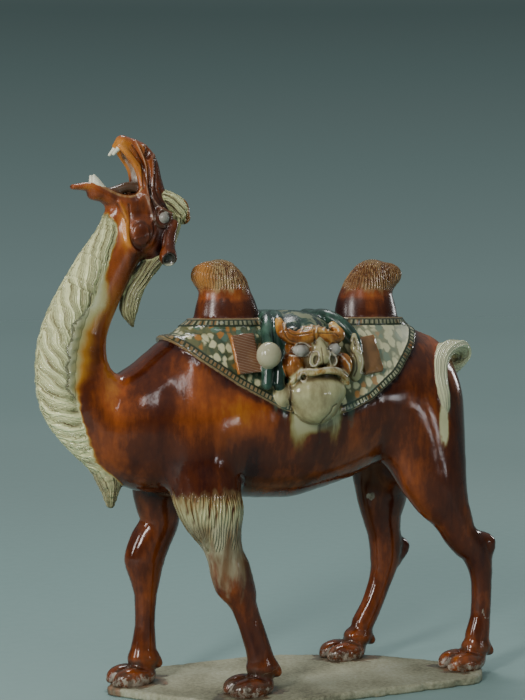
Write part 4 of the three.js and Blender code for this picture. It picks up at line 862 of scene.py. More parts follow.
def make_mesh(name, points, quads, ragged=()):
    """A mesh object, in metres in the part's frame, from points in millimetres."""
    mesh = bpy.data.meshes.new(name)
    loops = np.concatenate([quads.ravel(), *ragged]).astype(np.int32)
    sizes = np.array([4] * len(quads) + [len(face) for face in ragged], np.int32)
    mesh.vertices.add(len(points))
    mesh.vertices.foreach_set("co", (points / 1000).astype(np.float32).ravel())
    mesh.loops.add(len(loops))
    mesh.loops.foreach_set("vertex_index", loops)
    mesh.polygons.add(len(sizes))
    mesh.polygons.foreach_set("loop_start", (np.cumsum(sizes) - sizes).astype(np.int32))
    mesh.update(calc_edges=True)
    mesh.validate()
    return linked(name, mesh)


def linked(name, data):
    """A new object in the scene."""
    made = bpy.data.objects.new(name, data)
    bpy.context.scene.collection.objects.link(made)
    return made


def thinned(piece, triangles):
    """The piece with its mesh thinned to about that many triangles."""
    old = piece.data
    thin = piece.modifiers.new("thin", "DECIMATE")
    thin.ratio = min(1.0, triangles / sum(len(p.vertices) - 2 for p in old.polygons))
    thin.use_collapse_triangulate = True
    bpy.context.view_layer.update()
    graph = bpy.context.evaluated_depsgraph_get()
    piece.data = bpy.data.meshes.new_from_object(piece.evaluated_get(graph))
    piece.modifiers.clear()
    bpy.data.meshes.remove(old)
    piece.data.name = piece.name
    return piece


def vectors_of(piece, name):
    """A vector at each of the piece's vertices."""
    found = np.zeros(len(piece.data.vertices) * 3, np.float32)
    piece.data.vertices.foreach_get(name, found)
    return found.reshape(-1, 3)


def points_of(piece):
    """The piece's vertices in millimetres."""
    return vectors_of(piece, "co").astype(float) * 1000


# The slab's corners, as a foot and how many margins they lie from it along X and Y.
SLAB_CORNERS = [
    ("rightFore", -0.9, -0.1), ("leftFore", -1.62, 0.15), ("leftFore", -0.6, -1.06),
    ("leftHind", -0.1, -1.14), ("leftHind", 0.62, 0), ("rightHind", 0.86, 0), ("rightHind", -1.9, 1.32),
    ("rightFore", 0.75, 1.38),
]


def slab_outline():
    """The slab's outline in millimetres, its corners rounded."""
    corners = [np.multiply(FEET[n], UNIT) + np.multiply(away, SLAB_MARGIN) for n, *away in SLAB_CORNERS]
    corners = np.array(corners)
    outline = []
    for before, corner, after in zip(np.roll(corners, 1, 0), corners, np.roll(corners, -1, 0)):
        ways = before - corner, after - corner
        start, end = (corner + way / np.linalg.norm(way) * SLAB_CORNER_RADIUS for way in ways)
        for t in np.linspace(0, 1, 6):
            outline.append((1 - t) ** 2 * start + 2 * t * (1 - t) * corner + t * t * end)
    return np.array(outline)


OUTLINE = slab_outline()


def slab_field(points):
    """The slab with a worn and chipped rim, in millimetres."""
    x, y, z = points.T
    rim = np.full(len(points), FAR)
    crossings = np.zeros(len(points), int)
    for a, b in zip(OUTLINE, np.roll(OUTLINE, -1, 0)):
        way = b - a
        t = np.clip(((x - a[0]) * way[0] + (y - a[1]) * way[1]) / (way @ way), 0, 1)
        rim = np.minimum(rim, np.hypot(x - a[0] - t * way[0], y - a[1] - t * way[1]))
        at = a[0] + way[0] * (y - a[1]) / (way[1] if way[1] else 1)
        crossings += ((a[1] > y) != (b[1] > y)) & (x < at)
    rim = np.where(crossings % 2 == 1, -rim, rim)
    chips = 1.6 + 1.1 * ripple(points, 34, 5) + 0.7 * ripple(points, 13, 6)
    chips = np.maximum(chips, 0.2) + 2.5 * ramp(0.55, 1.0, ripple(points * (1, 1, 0.3), 60, 7))
    side = rim + chips
    flat = points * (1, 1, 0)
    top = z - SLAB_THICKNESS + 0.55 + 0.3 * ripple(flat, 90, 8) + 0.15 * ripple(flat, 22, 9)
    top = np.maximum(top, z - SLAB_THICKNESS + 0.05)
    round_off = 2.5
    over = np.hypot(np.maximum(side + round_off, 0), np.maximum(top + round_off, 0)) - round_off
    body = np.maximum(over, np.minimum(np.maximum(side, top), over))
    return np.maximum(body, 0.05 - z).astype(np.float32)


def with_fans(quads, ragged):
    """The faces with those of five and more corners cut in triangles."""
    fans = [[f[0], f[i], f[i + 1], f[i + 1]] for f in ragged for i in range(1, len(f) - 1)]
    return np.concatenate([quads, np.array(fans).reshape(-1, 4)])


def is_fine(p):
    """Where the modelling is small enough to want a closer mesh."""
    x, y, z = p.T
    close = (z > 76.5) & (x < -20)
    close |= (np.abs(y) > 9.5) & (z > 48) & (z < 69) & (x > -12.5) & (x < 9.5)
    close |= (NEAR_FORELEG.read(p, 0.5)[0] < 0.5) & (z > 27) & (z < 37.5) & (y < -3)
    for shape in (MANE, NAPE, TAIL[0]):
        close |= shape.read(p, 0.5)[0] < 0.5
    return close


def is_finest(p):
    """The face of the camel and the beast masks."""
    x, y, z = p.T
    head = (z > 78.5) & (x > -36) & (np.abs(y) > 0.9) & (MANE.read(p, 0.8)[0] > 0.6) & (x < -25.5)
    return head | ((np.abs(y) > 11.2) & (z > 49.5) & (z < 68) & (x > -10.5) & (x < 8))


def make_figure():
    points, faces = surface_net(figure_field, *FIGURE_BOX, FIGURE_STEP)
    points, faces = largest_part(points, faces)
    points = smoothed(points, faces, 0.5)
    points = onto_surface(figure_field, points, normals_of(points, faces), FIGURE_STEP)
    points, quads, ragged = refined(points, faces, is_fine(points)[faces].all(1))
    on_seam = np.zeros(len(points), bool)
    on_seam[[i for face in ragged for i in face]] = True
    chosen = is_finest(points)[quads].all(1) & ~on_seam[quads].any(1)
    points, quads, finer = refined(points, quads, chosen)
    ragged += finer
    every = with_fans(quads, ragged)
    points = onto_surface(figure_field, points, normals_of(points, every), FIGURE_STEP / 2)
    points = points + normals_of(points, every) * relief(points)[0][:, None]
    piece = make_mesh("camel", points * UNIT + (0, 0, SLAB_THICKNESS), quads, ragged)
    return thinned(piece, FIGURE_TRIANGLES)


def make_slab():
    points, faces = surface_net(slab_field, *SLAB_BOX, SLAB_STEP)
    points = smoothed(points, faces, 0.4)
    points = onto_surface(slab_field, points, normals_of(points, faces), 3)
    points[:, 2] = np.maximum(points[:, 2], 0)
    return thinned(make_mesh("slab", points, faces), SLAB_TRIANGLES)


def give(piece, values):
    """Writes the named numbers at the piece's points for its material."""
    for name, numbers in values.items():
        held = piece.data.attributes.new(name, "FLOAT", "POINT")
        held.data.foreach_set("value", np.asarray(numbers, np.float32))


# Soft spots where the amber runs thin (above zero) or pools dark, as x, z, half-widths and amount.
TONES = [
    (-37.2, 69, 2.2, 12, 0.36), (-38.4, 56, 2.4, 6, 0.24), (-34.5, 66, 3.5, 12, 0.12),
    (-35.2, 84, 1.3, 4.5, 0.36), (-34.9, 81.6, 1, 3, 0.16), (-32.7, 82.5, 1.7, 2.2, -0.1),
    (-29.8, 80.2, 1.6, 1.6, 0.14), (-38.5, 86.5, 2, 2, 0.3), (-32, 83.5, 2.6, 3.6, 0.1),
    (-31.2, 95, 1.8, 4.5, 0.36), (-35.4, 98.2, 2.6, 2, 0.52), (-33.4, 94.5, 1.2, 3, 0.26),
    (-41.5, 91, 3, 1.6, 0.18), (-31, 55, 6, 6, -0.1), (-24, 42, 9, 5, -0.14), (-14, 42, 6, 8, -0.1),
    (4, 42, 7, 5, 0.06), (24, 48, 7, 9, 0.16), (31, 44, 4, 10, -0.12), (-15, 70, 5, 4, 0.16),
    (15.5, 70, 5, 4, 0.16), (-25, 20, 9, 16, 0.05), (24, 18, 6, 14, -0.03), (35, 18, 5, 12, -0.05),
    (29, 60, 5, 5, 0.3), (-24, 56, 5, 6, 0.12), (-15, 50.5, 5.5, 4, 0.22), (13, 72, 2.5, 5, 0.16),
    (33, 30, 3, 6, 0.08),
]
# Where glaze has run down the flank, as seen from three quarters in front: x, z and half-sizes.
RUNS = {
    "cream_run": [(-6.3, 49, 1.9, 5.6), (1, 49, 1.6, 5.4), (-2.6, 50, 5.8, 3.4)],
    "green_run": [(-9.3, 51.6, 0.8, 2.8), (4.3, 50.9, 0.9, 3.2), (-10.9, 53, 0.7, 1.8)],
    "tail_run": [(24.7, 47.3, 1.25, 4.4)],
}
# Chipped and bare places, as x, y, z and half-sizes.
CHIPS = [
    (36.9, -11, 9.9, 0.9, 0.35), (35, -11, 11.2, 0.4, 0.5), (19.8, 5.6, 31.9, 0.8, 0.6),
    (-10.6, -7.5, 35.6, 1.8, 0.9), (-27.6, 6, 15.2, 0.3, 0.3),
]
# How far from the surface a point is felt to be in a hollow or on a rim.
FEELER = 1.1
# The shapes that each glaze belongs to.
OWNERS = {
    "mane": [MANE], "tuft": [NAPE, FORELOCK], "tail": TAIL, "bag": [BAG],
    "green": [ROLL, SECOND_ROLL, STRAP], "wood": [FRONT_BOARD, REAR_BOARD], "flask": [FLASK],
    "brow": MASK[6:8], "chin": MASK[:2], "flap": MASK[2:3], "dome": MASK[3:4], "cheek": MASK[4:6],
    "eye": [*MASK[10:12], EYE], "nose": MASK[12:15], "lip": MASK[17:18], "hand": MASK[20:21],
    "tooth": [LOWER_TOOTH, UPPER_TOOTH], "ear": [EAR], "tongue": [TONGUE],
}


def figure_values(piece):
    """What the glaze needs to know at the figure's points."""
    p = np.ascontiguousarray((points_of(piece) - (0, 0, SLAB_THICKNESS)) / UNIT, np.float32)
    x, y, z = p.T
    trunk = field_of(p, TRUNK)
    bald = [shape for shape in HEAD if shape not in (FORELOCK, EYE, LOWER_TOOTH, UPPER_TOOTH)]
    own = {"body": add_shapes(field_of(p, TRUNK + NECK[:1]), p, bald + LEGS), "cloth": cloth_field(trunk, p)}
    own |= {name: np.min([shape.read(p, 3.0)[0] for shape in shapes], 0) for name, shapes in OWNERS.items()}
    nearest, second = np.sort(np.array(list(own.values())), 0)[:2]
    values = {n: np.clip(np.where(d <= nearest, second, nearest) - d, -2, 2) for n, d in own.items()}

    d, length, side, lift = MANE.read(p, 3.0)
    edge = np.maximum(mane_arc(length, side, lift)[0] - mane_limit(length), 0) + np.maximum(d, 0)
    values["mane_edge"] = np.clip(edge, 0, 6)
    values["halo"] = np.clip(edge / (0.4 + 5.4 * ramp(8, 19, length) * (1 - ramp(27, 37, length))), 0, 6)
    inside, values["along"] = inside_edge(x, z)
    values["inside"] = np.clip(inside, -3, 8)
    values["collar"] = np.clip(inside_collar(p), -3, 8)
    values["turn"] = np.arctan2(np.abs(y), x - np.where(x < 0, -14.6, 15.6)) * 6.5
    feeler = vectors_of(piece, "normal") * FEELER
    values["cavity"] = np.clip(1 - figure_field(p + feeler) / FEELER, -1, 1)
    values["rim"] = np.clip(figure_field(p - feeler) / FEELER + 1, -1, 1)
    _, values["lock"], values["strand"] = relief(p)
    shades = modelled(p)[1]
    values |= {"pale": shades["P"], "dark": shades["D"], "rust": shades["A"]}

    d, up, aside, _ = FRONT_BOARD.read(p, 1.0)
    behind, _, beside, _ = REAR_BOARD.read(p, 1.0)
    values["plank"] = np.where(d < 0.8, (up + 0.38 * aside) / 0.52, 0.5)
    values["plank_edge"] = np.where(d < 0.8, aside, np.where(behind < 0.8, -0.25 - beside, 0))
    on_hump = np.any([np.abs(x - tip) < 7.5 for tip in HUMP_TIPS], 0) & (np.abs(y) < 6)
    values["cap"] = np.clip(np.where(on_hump, z - 72.9, -5), -3, 3)
    leg = NEAR_FORELEG.read(p, 1.0)[0] < 0.8
    angle = round_foreleg(x, y)
    low = 27.2 - 1.2 * wave(angle * 1.6) + 0.6 * wave(angle * 3.3)
    hair = np.where(leg & (y < -3.5), np.minimum(z - low, 36.5 + 0.45 * wave(angle * 2.7 + 0.5) - z), -4)
    values["cuff"] = np.clip(hair, -4, 3)
    values["shank"] = np.where(leg, z, 90)
    hollow = np.minimum(MOUTH.read(p, 1.0)[0], PALATE.read(p, 1.0)[0])
    values["mouth"] = np.clip(-hollow, -1, 1)
    values["cup"] = np.clip(-EAR_HOLE.read(p, 1.0)[0], -1, 1)

    q = seen(p, -14, 0.05)
    for name, runs in RUNS.items():
        values[name] = np.full(len(p), -3.0)
        for cx, cz, rx, rz in runs:
            inner = rx * (1 - np.hypot((q[:, 0] - cx) / rx, (q[:, 1] - cz) / rz))
            here = (np.abs(y) > 6) & ((y < 0) | (cx < 20))
            values[name] = np.maximum(values[name], np.where(here, np.minimum(inner, 3), -3))
    bare, tone = np.full(len(p), -3.0), np.zeros(len(p))
    for cx, cy, cz, rx, rz in CHIPS:
        size = np.sqrt(((x - cx) / rx) ** 2 + ((y - cy) / rx) ** 2 + ((z - cz) / rz) ** 2)
        bare = np.maximum(bare, (1 - size) * rz)
    for cx, cz, rx, rz, amount in TONES:
        tone += amount * np.exp(-(((x - cx) / rx) ** 2) - ((z - cz) / rz) ** 2)
    # A painted highlight: a pale patch of glare on the rear of the cloth, at x 21 and z 64.6.
    painted_glare = np.exp(-(((x - 21) / 2.6) ** 2) - ((z - 64.6) / 2.6) ** 2) * (np.abs(y) > 2)
    return values | {"bare": bare, "tone": tone, "painted_glare": painted_glare}


class Wire:
    """A number, colour or vector inside a material: one output of a node."""

    def __init__(self, graph, socket):
        self.graph, self.socket = graph, socket

    def __add__(self, other):
        return self.graph.math("ADD", self, other)

    def __mul__(self, other):
        return self.graph.math("MULTIPLY", self, other)

    def beside(self, output):
        """Another output of the same node."""
        return Wire(self.graph, self.socket.node.outputs[output])


class Graph:
    """A material's nodes, made from the inside out."""

    def __init__(self, name):
        self.material = bpy.data.materials.new(name)
        self.material.use_nodes = True
        self.tree = self.material.node_tree
        self.tree.nodes.clear()
        self.place = self.node("TexCoord", {}, "Object")

    def node(self, kind, inputs, output=0, **settings):
        made = self.tree.nodes.new("ShaderNode" + kind)
        for key, value in settings.items():
            setattr(made, key, value)
        for key, value in inputs.items():
            if isinstance(value, Wire):
                self.tree.links.new(value.socket, made.inputs[key])
            else:
                made.inputs[key].default_value = value
        return Wire(self, made.outputs[output])

    def part(self, vector, axis):
        return self.node("SeparateXYZ", {0: vector}, axis)

    def read(self, name):
        return self.node("Attribute", {}, "Fac", attribute_name=name)

    def math(self, operation, a, b=0.0):
        return self.node("Math", {0: a, 1: b}, operation=operation)

    def both(self, a, b):
        return self.math("MINIMUM", a, b)

    def either(self, a, b):
        return self.math("MAXIMUM", a, b)

    def band(self, value, low, high, to_low=0.0, to_high=1.0):
        inputs = {"Value": value, "From Min": low, "From Max": high, "To Min": to_low, "To Max": to_high}
        return self.node("MapRange", inputs, "Result", interpolation_type="SMOOTHSTEP")

    def squeezed(self, x, y, z, where=None):
        return self.node("VectorMath", {0: where or self.place, 1: (x, y, z)}, operation="MULTIPLY")

    def noise(self, scale, detail=3.0, rough=0.5, where=None, bend=0.0):
        inputs = {"Vector": where or self.place, "Scale": scale, "Detail": detail, "Roughness": rough}
        return self.node("TexNoise", {**inputs, "Distortion": bend}, "Fac")

    def mix(self, share, a, b):
        a, b = [(*c, 1) if isinstance(c, tuple) else c for c in (a, b)]
        return self.node("Mix", {0: share, 6: a, 7: b}, 2, data_type="RGBA", clamp_factor=True)

    def ramp(self, value, stops):
        colour = self.node("ValToRGB", {"Fac": value})
        elements = colour.socket.node.color_ramp.elements
        while len(elements) < len(stops):
            elements.new(0.5)
        for element, (place, rgb) in zip(elements, stops):
            element.position = place
            element.color = (*rgb, 1)
        return colour

    def bump(self, height, distance, strength=1.0, normal=None):
        inputs = {"Height": height, "Distance": distance, "Strength": strength}
        return self.node("Bump", inputs | ({"Normal": normal} if normal else {}))

    def finish(self, colour, roughness, normal):
        shader = self.node("BsdfPrincipled", {"Base Color": colour, "Roughness": roughness, "Normal": normal})
        end = self.tree.nodes.new("ShaderNodeOutputMaterial")
        self.tree.links.new(shader.socket, end.inputs["Surface"])
        return self.material


# Colours from dark to light, or from near to far, as places and linear colours.
AMBER = [
    (0, (0.009, 0.002, 0.002)), (0.28, (0.03, 0.005, 0.003)), (0.5, (0.088, 0.018, 0.004)),
    (0.72, (0.285, 0.064, 0.01)), (1, (0.54, 0.2, 0.028)),
]
HAIR = [
    (0, (0.07, 0.035, 0.015)), (0.25, (0.2, 0.16, 0.08)), (0.48, (0.52, 0.49, 0.26)),
    (0.7, (0.79, 0.79, 0.4)), (1, (0.88, 0.89, 0.5)),
]
GREEN = [
    (0, (0.008, 0.016, 0.012)), (0.45, (0.026, 0.065, 0.045)), (0.75, (0.075, 0.15, 0.105)),
    (1, (0.26, 0.32, 0.2)),
]
TAN = [
    (0.1, (0.07, 0.018, 0.006)), (0.4, (0.2, 0.085, 0.028)), (0.7, (0.43, 0.29, 0.13)), (1, (0.7, 0.6, 0.36)),
]
GOLD = [
    (0, (0.06, 0.014, 0.003)), (0.4, (0.26, 0.085, 0.012)), (0.7, (0.5, 0.22, 0.035)),
    (1, (0.66, 0.47, 0.18)),
]
RUN = [
    (0, (0.2, 0.07, 0.012)), (0.4, (0.22, 0.15, 0.04)), (0.75, (0.34, 0.31, 0.14)), (1, (0.48, 0.46, 0.27)),
]
BARE = [
    (0.1, (0.105, 0.098, 0.062)), (0.4, (0.25, 0.243, 0.158)), (0.65, (0.35, 0.345, 0.235)),
    (0.95, (0.45, 0.455, 0.35)),
]
HALO = [
    (0.05, (0.62, 0.62, 0.38)), (0.42, (0.44, 0.4, 0.17)), (0.72, (0.38, 0.17, 0.02)),
    (1, (0.24, 0.07, 0.008)),
]


def glaze():
    """Amber, cream and green lead glazes that run down over white slip."""
    g = Graph("glaze")
    band, mix, noise, read, both, either = g.band, g.mix, g.noise, g.read, g.both, g.either
    x_at, height = g.part(g.place, 0), g.part(g.place, 2)
    runs = noise(46, 4, 0.55, g.squeezed(1, 1, 0.14), 0.4)
    broad = noise(10, 3, 0.5, g.squeezed(1, 1, 0.6), 0.3)
    specks = noise(420, 2, 0.6)
    mottle = noise(120, 3, 0.6, g.squeezed(1, 1, 0.5))
    edge = band(noise(70, 4, 0.6, g.squeezed(1, 1, 0.45)), 0.25, 0.75, -0.35, 0.35)
    cavity, rim, lock = read("cavity"), read("rim"), read("lock")

    # The body's amber.
    thin = band(runs, 0.2, 0.8, -0.09, 0.09) + band(broad, 0.25, 0.75, -0.12, 0.12)
    thin = thin + band(height, 0.035, 0.1, 0.1, 0) + read("tone") + (rim * 0.13 + cavity * -0.36)
    thin = thin + 0.5 + band(mottle, 0.2, 0.8, -0.05, 0.05)
    amber = g.ramp(thin, AMBER)

    # Cream over the hair, darker between the locks and at the mane's tip.
    strand = g.math("COSINE", read("strand") * ONE_TURN + edge * 2.2)
    hair_tone = band(strand, -1, -0.4, 1, 0) * -0.2 + lock * -0.54 + band(broad, 0.25, 0.75, -0.07, 0.09)
    hair_tone = hair_tone + band(runs, 0.3, 0.7, -0.07, 0.07) + cavity * -0.22 + 0.88
    mane_edge = read("mane_edge") + edge * 0.25
    tip = band(mane_edge, 0.4, 0.6, 1, 0)
    cream = g.ramp(hair_tone + both(tip, band(height, 0.33, 0.43, 1, 0)) * -0.22, HAIR)
    tip = both(tip, band(height + edge * 0.02, 0.345, 0.385, 0.6, 0))
    cream = mix(tip, cream, mix(band(lock, 0.2, 0.6), (0.27, 0.22, 0.12), (0.07, 0.04, 0.02)))
    halo = read("halo") + (edge * 0.12 + band(runs, 0.3, 0.7, -0.08, 0.08))
    colour = mix(band(halo, 0.65, 1.35, 0.92, 0), amber, g.ramp(halo, HALO))

    def lay(share, top):
        """Puts a colour over what is there."""
        nonlocal colour
        colour = mix(share, colour, top)

    def over(name, top, width=0.1, ragged=0.2):
        """Puts a colour over the shapes of that name."""
        lay(band(read(name) + edge * ragged, -width, width), top)

    # The spotted cloth, paler towards the rear, with a painted highlight and a painted reflection over its
    # rear.
    warp = mix(0.012, g.place, g.node("TexNoise", {"Vector": g.place, "Scale": 60.0}, "Color"))
    rear = band(x_at, 0.04, 0.12)
    flat = g.squeezed(1, 0.5, 0.78, warp)
    size = g.node("TexVoronoi", {"Vector": flat, "Scale": 84.0, "Randomness": 0.7}, "Distance", feature="F1")
    kind = g.part(size.beside("Color"), 0)
    size = size + (rear * -0.14 + band(mottle, 0.2, 0.8, -0.08, 0.08))
    spot = mix(mottle, (0.54, 0.49, 0.26), (0.82, 0.79, 0.5))
    spot = mix(band(kind + rear * -0.06, 0.8, 0.83), spot, (0.4, 0.17, 0.035))
    spot = mix(band(kind, 0.16, 0.2, 1, 0), spot, (0.1, 0.17, 0.12))
    ground = mix(band(runs, 0.35, 0.65), (0.045, 0.075, 0.045), (0.15, 0.145, 0.065))
    ground = mix(rear * 0.5, ground, mix(broad, (0.09, 0.14, 0.09), (0.36, 0.33, 0.17)))
    cloth = mix(band(size, 0.34, 0.56, 1, 0) * 0.92, ground, spot)
    # Painted highlight: the pale patch of glare laid over the rear of the cloth.
    cloth = mix(read("painted_glare") * band(mottle, 0.3, 0.6, 0.6, 1), cloth, (0.7, 0.69, 0.53))
    # Painted reflection: the rear of the cloth washed paler.
    cloth = mix(rear * 0.2, cloth, (0.7, 0.69, 0.52))

    # The border's ladder, along the lower edge and round the humps.
    inside, collar = read("inside"), read("collar")
    depth = both(inside, collar)
    by_collar = band(collar + inside * -1, -0.05, 0.05, 1, 0)
    by_edge = by_collar * -1 + 1
    count = read("along") * 1.3 * by_edge + read("turn") * by_collar + edge * 0.25
    bars = band(g.math("PINGPONG", count, 0.5), 0.14, 0.24)
    across = both(band(depth, 0.3, 0.42), band(depth, 1.02, 1.16, 1, 0))
    pick = g.node("TexWhiteNoise", {"W": g.math("FLOOR", count + 0.5)}, "Value", noise_dimensions="1D")
    rung = mix(band(pick, 0.55, 0.6), (0.47, 0.45, 0.29), (0.24, 0.26, 0.17))
    rung = mix(band(pick, 0.8, 0.82), rung, (0.3, 0.11, 0.025))
    rung = mix(band(mottle, 0.35, 0.6, 0.75, 0), rung, (0.1, 0.1, 0.05))
    front = band(x_at, -0.13, -0.02, 0.8, 0) * by_edge
    rung = mix(front, rung, mix(mottle, (0.1, 0.1, 0.05), (0.3, 0.12, 0.03)))
    rung = mix(by_collar * 0.45, rung, (0.16, 0.15, 0.08))
    border = mix(both(bars, across), (0.032, 0.042, 0.024), rung)
    border = mix(band(depth, 0, 0.26, 1, 0), border, mix(runs, (0.2, 0.075, 0.02), (0.4, 0.34, 0.18)))
    over("cloth", mix(band(depth, 1.38, 1.5, 1, 0), cloth, border), 0.06, 0.05)

    # The bag, and what has run down below the mask and the tail.
    green = g.ramp(rim * 0.3 + band(runs, 0.3, 0.7, 0.05, 0.66), GREEN)
    over("bag", mix(band(runs, 0.5, 0.62), green, (0.2, 0.21, 0.12)), 0.2, 0.6)
    ragged = read("cream_run") + (band(runs, 0.3, 0.7, -0.35, 0.35) + edge * 0.6)
    ragged = band(ragged, -0.6, 1.5) * band(height, 0.385, 0.435, 0.45, 1)
    lay(band(ragged, 0, 0.45, 0, 0.92) * band(runs, 0.36, 0.5, 0.45, 1), g.ramp(ragged, RUN))
    ragged = band(read("tail_run") + edge * 0.5, -0.2, 0.35)
    lay(ragged, mix(ragged, (0.32, 0.16, 0.03), mix(runs, (0.5, 0.47, 0.24), (0.74, 0.72, 0.44))))
    ragged = read("green_run") + (band(runs, 0.3, 0.7, -0.3, 0.3) + edge * 0.6)
    lay(band(ragged, -0.25, 0.5) * 0.7, mix(runs, (0.02, 0.06, 0.05), (0.1, 0.15, 0.1)))

    # The rolls, the boards, the masks and the flask.
    over("green", green, 0.08, 0.1)
    lines = band(g.math("PINGPONG", read("plank"), 0.5), 0.4, 0.48)
    wood = mix(band(x_at, 0, 0.01), (0.13, 0.05, 0.028), (0.24, 0.125, 0.05))
    wood = mix(band(broad, 0.3, 0.7, 0, 0.6), wood, (0.26, 0.13, 0.06))
    wood = mix(band(mottle, 0.2, 0.8, 0, 0.25), wood, (0.08, 0.03, 0.015))
    wood = mix(both(lines, band(x_at, 0, 0.01, 1, 0)) * 0.5, wood, (0.48, 0.38, 0.28))
    wood = mix(band(read("plank_edge"), -2.2, -1.95, 1, 0), wood, (0.42, 0.15, 0.03))
    over("wood", wood, 0.06, 0.05)
    shade = cavity + band(runs, 0.3, 0.7, -0.15, 0.18) + band(mottle, 0.3, 0.7, -0.1, 0.12)
    pale = g.ramp(shade * -0.3 + band(broad, 0.3, 0.7, 0.36, 0.52), HAIR)
    dull = g.ramp(shade * -0.26 + 0.4, HAIR)
    warm = thin * 0.8 + 0.07 + (rim * 0.4 + cavity * -0.2)
    warm = warm + (band(mottle, 0.3, 0.7, -0.08, 0.1) + band(runs, 0.3, 0.7, -0.14, 0.08))
    warm = g.ramp(warm, GOLD)
    dome = mix(band(runs, 0.34, 0.52), green, (0.38, 0.36, 0.21))
    over("dome", mix(band(mottle, 0.36, 0.54), dome, warm), 0.12, 0.4)
    over("cheek", warm, 0.12, 0.3)
    over("flap", pale)
    over("chin", pale)
    over("flask", mix(band(broad, 0.3, 0.7), (0.38, 0.35, 0.22), (0.56, 0.53, 0.36)))
    lay(band(read("nose") + edge * 0.6, -1.1, -0.1), dull)
    over("hand", dull)
    lip = mix(band(mottle, 0.35, 0.65), (0.26, 0.15, 0.04), (0.5, 0.46, 0.25))
    lay(band(read("lip") + edge * 0.4, -0.7, -0.1), lip)
    over("brow", warm, 0.1, 0.3)

    # The hair: mane, tail, tuft, humps' caps and the near foreleg's cuff.
    lay(band(mane_edge, 0.05, 0.3, 1, 0), cream)
    over("tail", mix(0.62, cream, (0.94, 0.93, 0.64)), 0.1, 0.25)
    lay(band(read("tuft"), -0.35, -0.15), mix(band(height, 0.7, 0.78, 0.45, 0.1), cream, (0.2, 0.17, 0.08)))
    tan = g.ramp(lock * -0.4 + band(broad, 0.3, 0.7, 0.45, 0.75) + rim * 0.2 + -0.06, TAN)
    orange = mix(runs, (0.34, 0.11, 0.015), (0.58, 0.26, 0.06))
    tan = mix(band(x_at, -0.166, -0.148, 0.9, 0), tan, orange)
    lay(band(read("cap") + edge * 3, -0.9, 0.9), tan)
    cuff_at, shank = read("cuff"), read("shank")
    hair = mix(0.5, cream, mix(band(broad, 0.35, 0.65), (0.16, 0.11, 0.05), (0.34, 0.29, 0.15)))
    hair = mix(lock * 1.5 * band(shank, 30.5, 34.5, 0.15, 1), hair, amber)
    top = shank + edge * 3
    hair = mix(band(top, 32.8, 36, 0, 0.6), hair, (0.34, 0.18, 0.045))
    hair = mix(band(top, 35.2, 36.8, 0, 0.7), hair, amber)
    lay(band(cuff_at + edge * 2.4, -1, 0.7), hair)
    streak = noise(60, 3, 0.5, g.squeezed(1, 1, 0.1)) + band(shank + edge * 4, 14, 28, -0.35, 0.26)
    run_off = both(band(streak, 0.32, 0.66), band(shank, 30, 33, 1, 0))
    lay(run_off * 0.88, mix(band(runs, 0.36, 0.62), (0.17, 0.1, 0.045), (0.36, 0.33, 0.21)))

    # The head: mouth, modelled lines, ears, teeth and eyes.
    # The palate is grey-white, and painted brighter to stand in for light that does not reach into the mouth.
    palate = mix(band(mottle, 0.4, 0.6), (0.72, 0.71, 0.66), (0.34, 0.32, 0.28))
    lay(band(read("mouth"), -0.25, 0.05), mix(band(height, 0.807, 0.818), (0.085, 0.04, 0.02), palate))
    over("tongue", mix(mottle, (0.15, 0.1, 0.07), (0.06, 0.035, 0.02)))
    # Pale lines: painted highlights along the ridges of the camel's head, cream glaze on the masks.
    trace = band(read("pale"), 0.2, 0.8) * band(mottle, 0.3, 0.65, 0.3, 0.85)
    lay(trace, mix(mottle, (0.4, 0.33, 0.24), (0.68, 0.62, 0.52)))
    lay(read("dark") * 0.75, (0.05, 0.026, 0.012))
    lay(read("rust") * 0.8, mix(band(mottle, 0.35, 0.6), (0.36, 0.19, 0.04), (0.56, 0.46, 0.24)))
    cup = read("cup")
    lay(band(cup, -0.5, -0.25), (0.03, 0.012, 0.006))
    # Painted shade in the ear's cup: dark over its upper part, cream only along its lower edge.
    inner = mix(band(height, 0.679, 0.686, 1, 0), (0.05, 0.045, 0.035), (0.62, 0.6, 0.42))
    lay(band(cup, -0.2, -0.03), inner)
    over("tooth", mix(broad, (0.82, 0.81, 0.6), (0.7, 0.68, 0.54)), 0.06, 0)
    over("eye", mix(band(runs, 0.35, 0.65), (0.42, 0.4, 0.35), (0.22, 0.2, 0.17)), 0.06, 0)

    # Soil at the feet, and clay where the glaze is chipped or worn.
    lay(band(noise(70, 5, 0.7), 0.38, 0.66) * band(height, 0.02, 0.085, 0.8, 0), (0.065, 0.048, 0.03))
    dust = band(height, 0.013, 0.05, 0.55, -0.55) + band(cavity, 0.1, 0.8, -0.1, 0.35)
    dust = band(dust + band(noise(95, 7, 0.75), 0.3, 0.7, -0.6, 0.6), 0.1, 0.6)
    dust = dust * band(height, 0.06, 0.09, 1, 0)
    dust = either(dust * 0.85, band(read("bare") + edge * 1.3, -0.05, 0.12))
    lay(dust, mix(band(mottle, 0.35, 0.65), (0.16, 0.135, 0.1), (0.46, 0.42, 0.34)))
    rough = band(noise(34, 4, 0.6), 0.3, 0.75, 0.07, 0.17) + dust * 0.5
    rough = rough + band(specks, 0.55, 0.8) * 0.08 + band(height, 0.56, 0.61, 0, 0.14)
    hairy = either(either(read("mane"), read("tuft")), either(read("tail"), cuff_at))
    hairy = band(either(hairy, read("cap") + 0.2), -0.1, 0.2)
    normal = g.bump(noise(38, 3, 0.5), 0.0006, 0.4)
    normal = g.bump(noise(240, 3, 0.6), 0.00022, 0.6, normal)
    normal = g.bump(strand * hairy, 0.0009, 0.9, normal)
    return g.finish(colour, rough, normal)


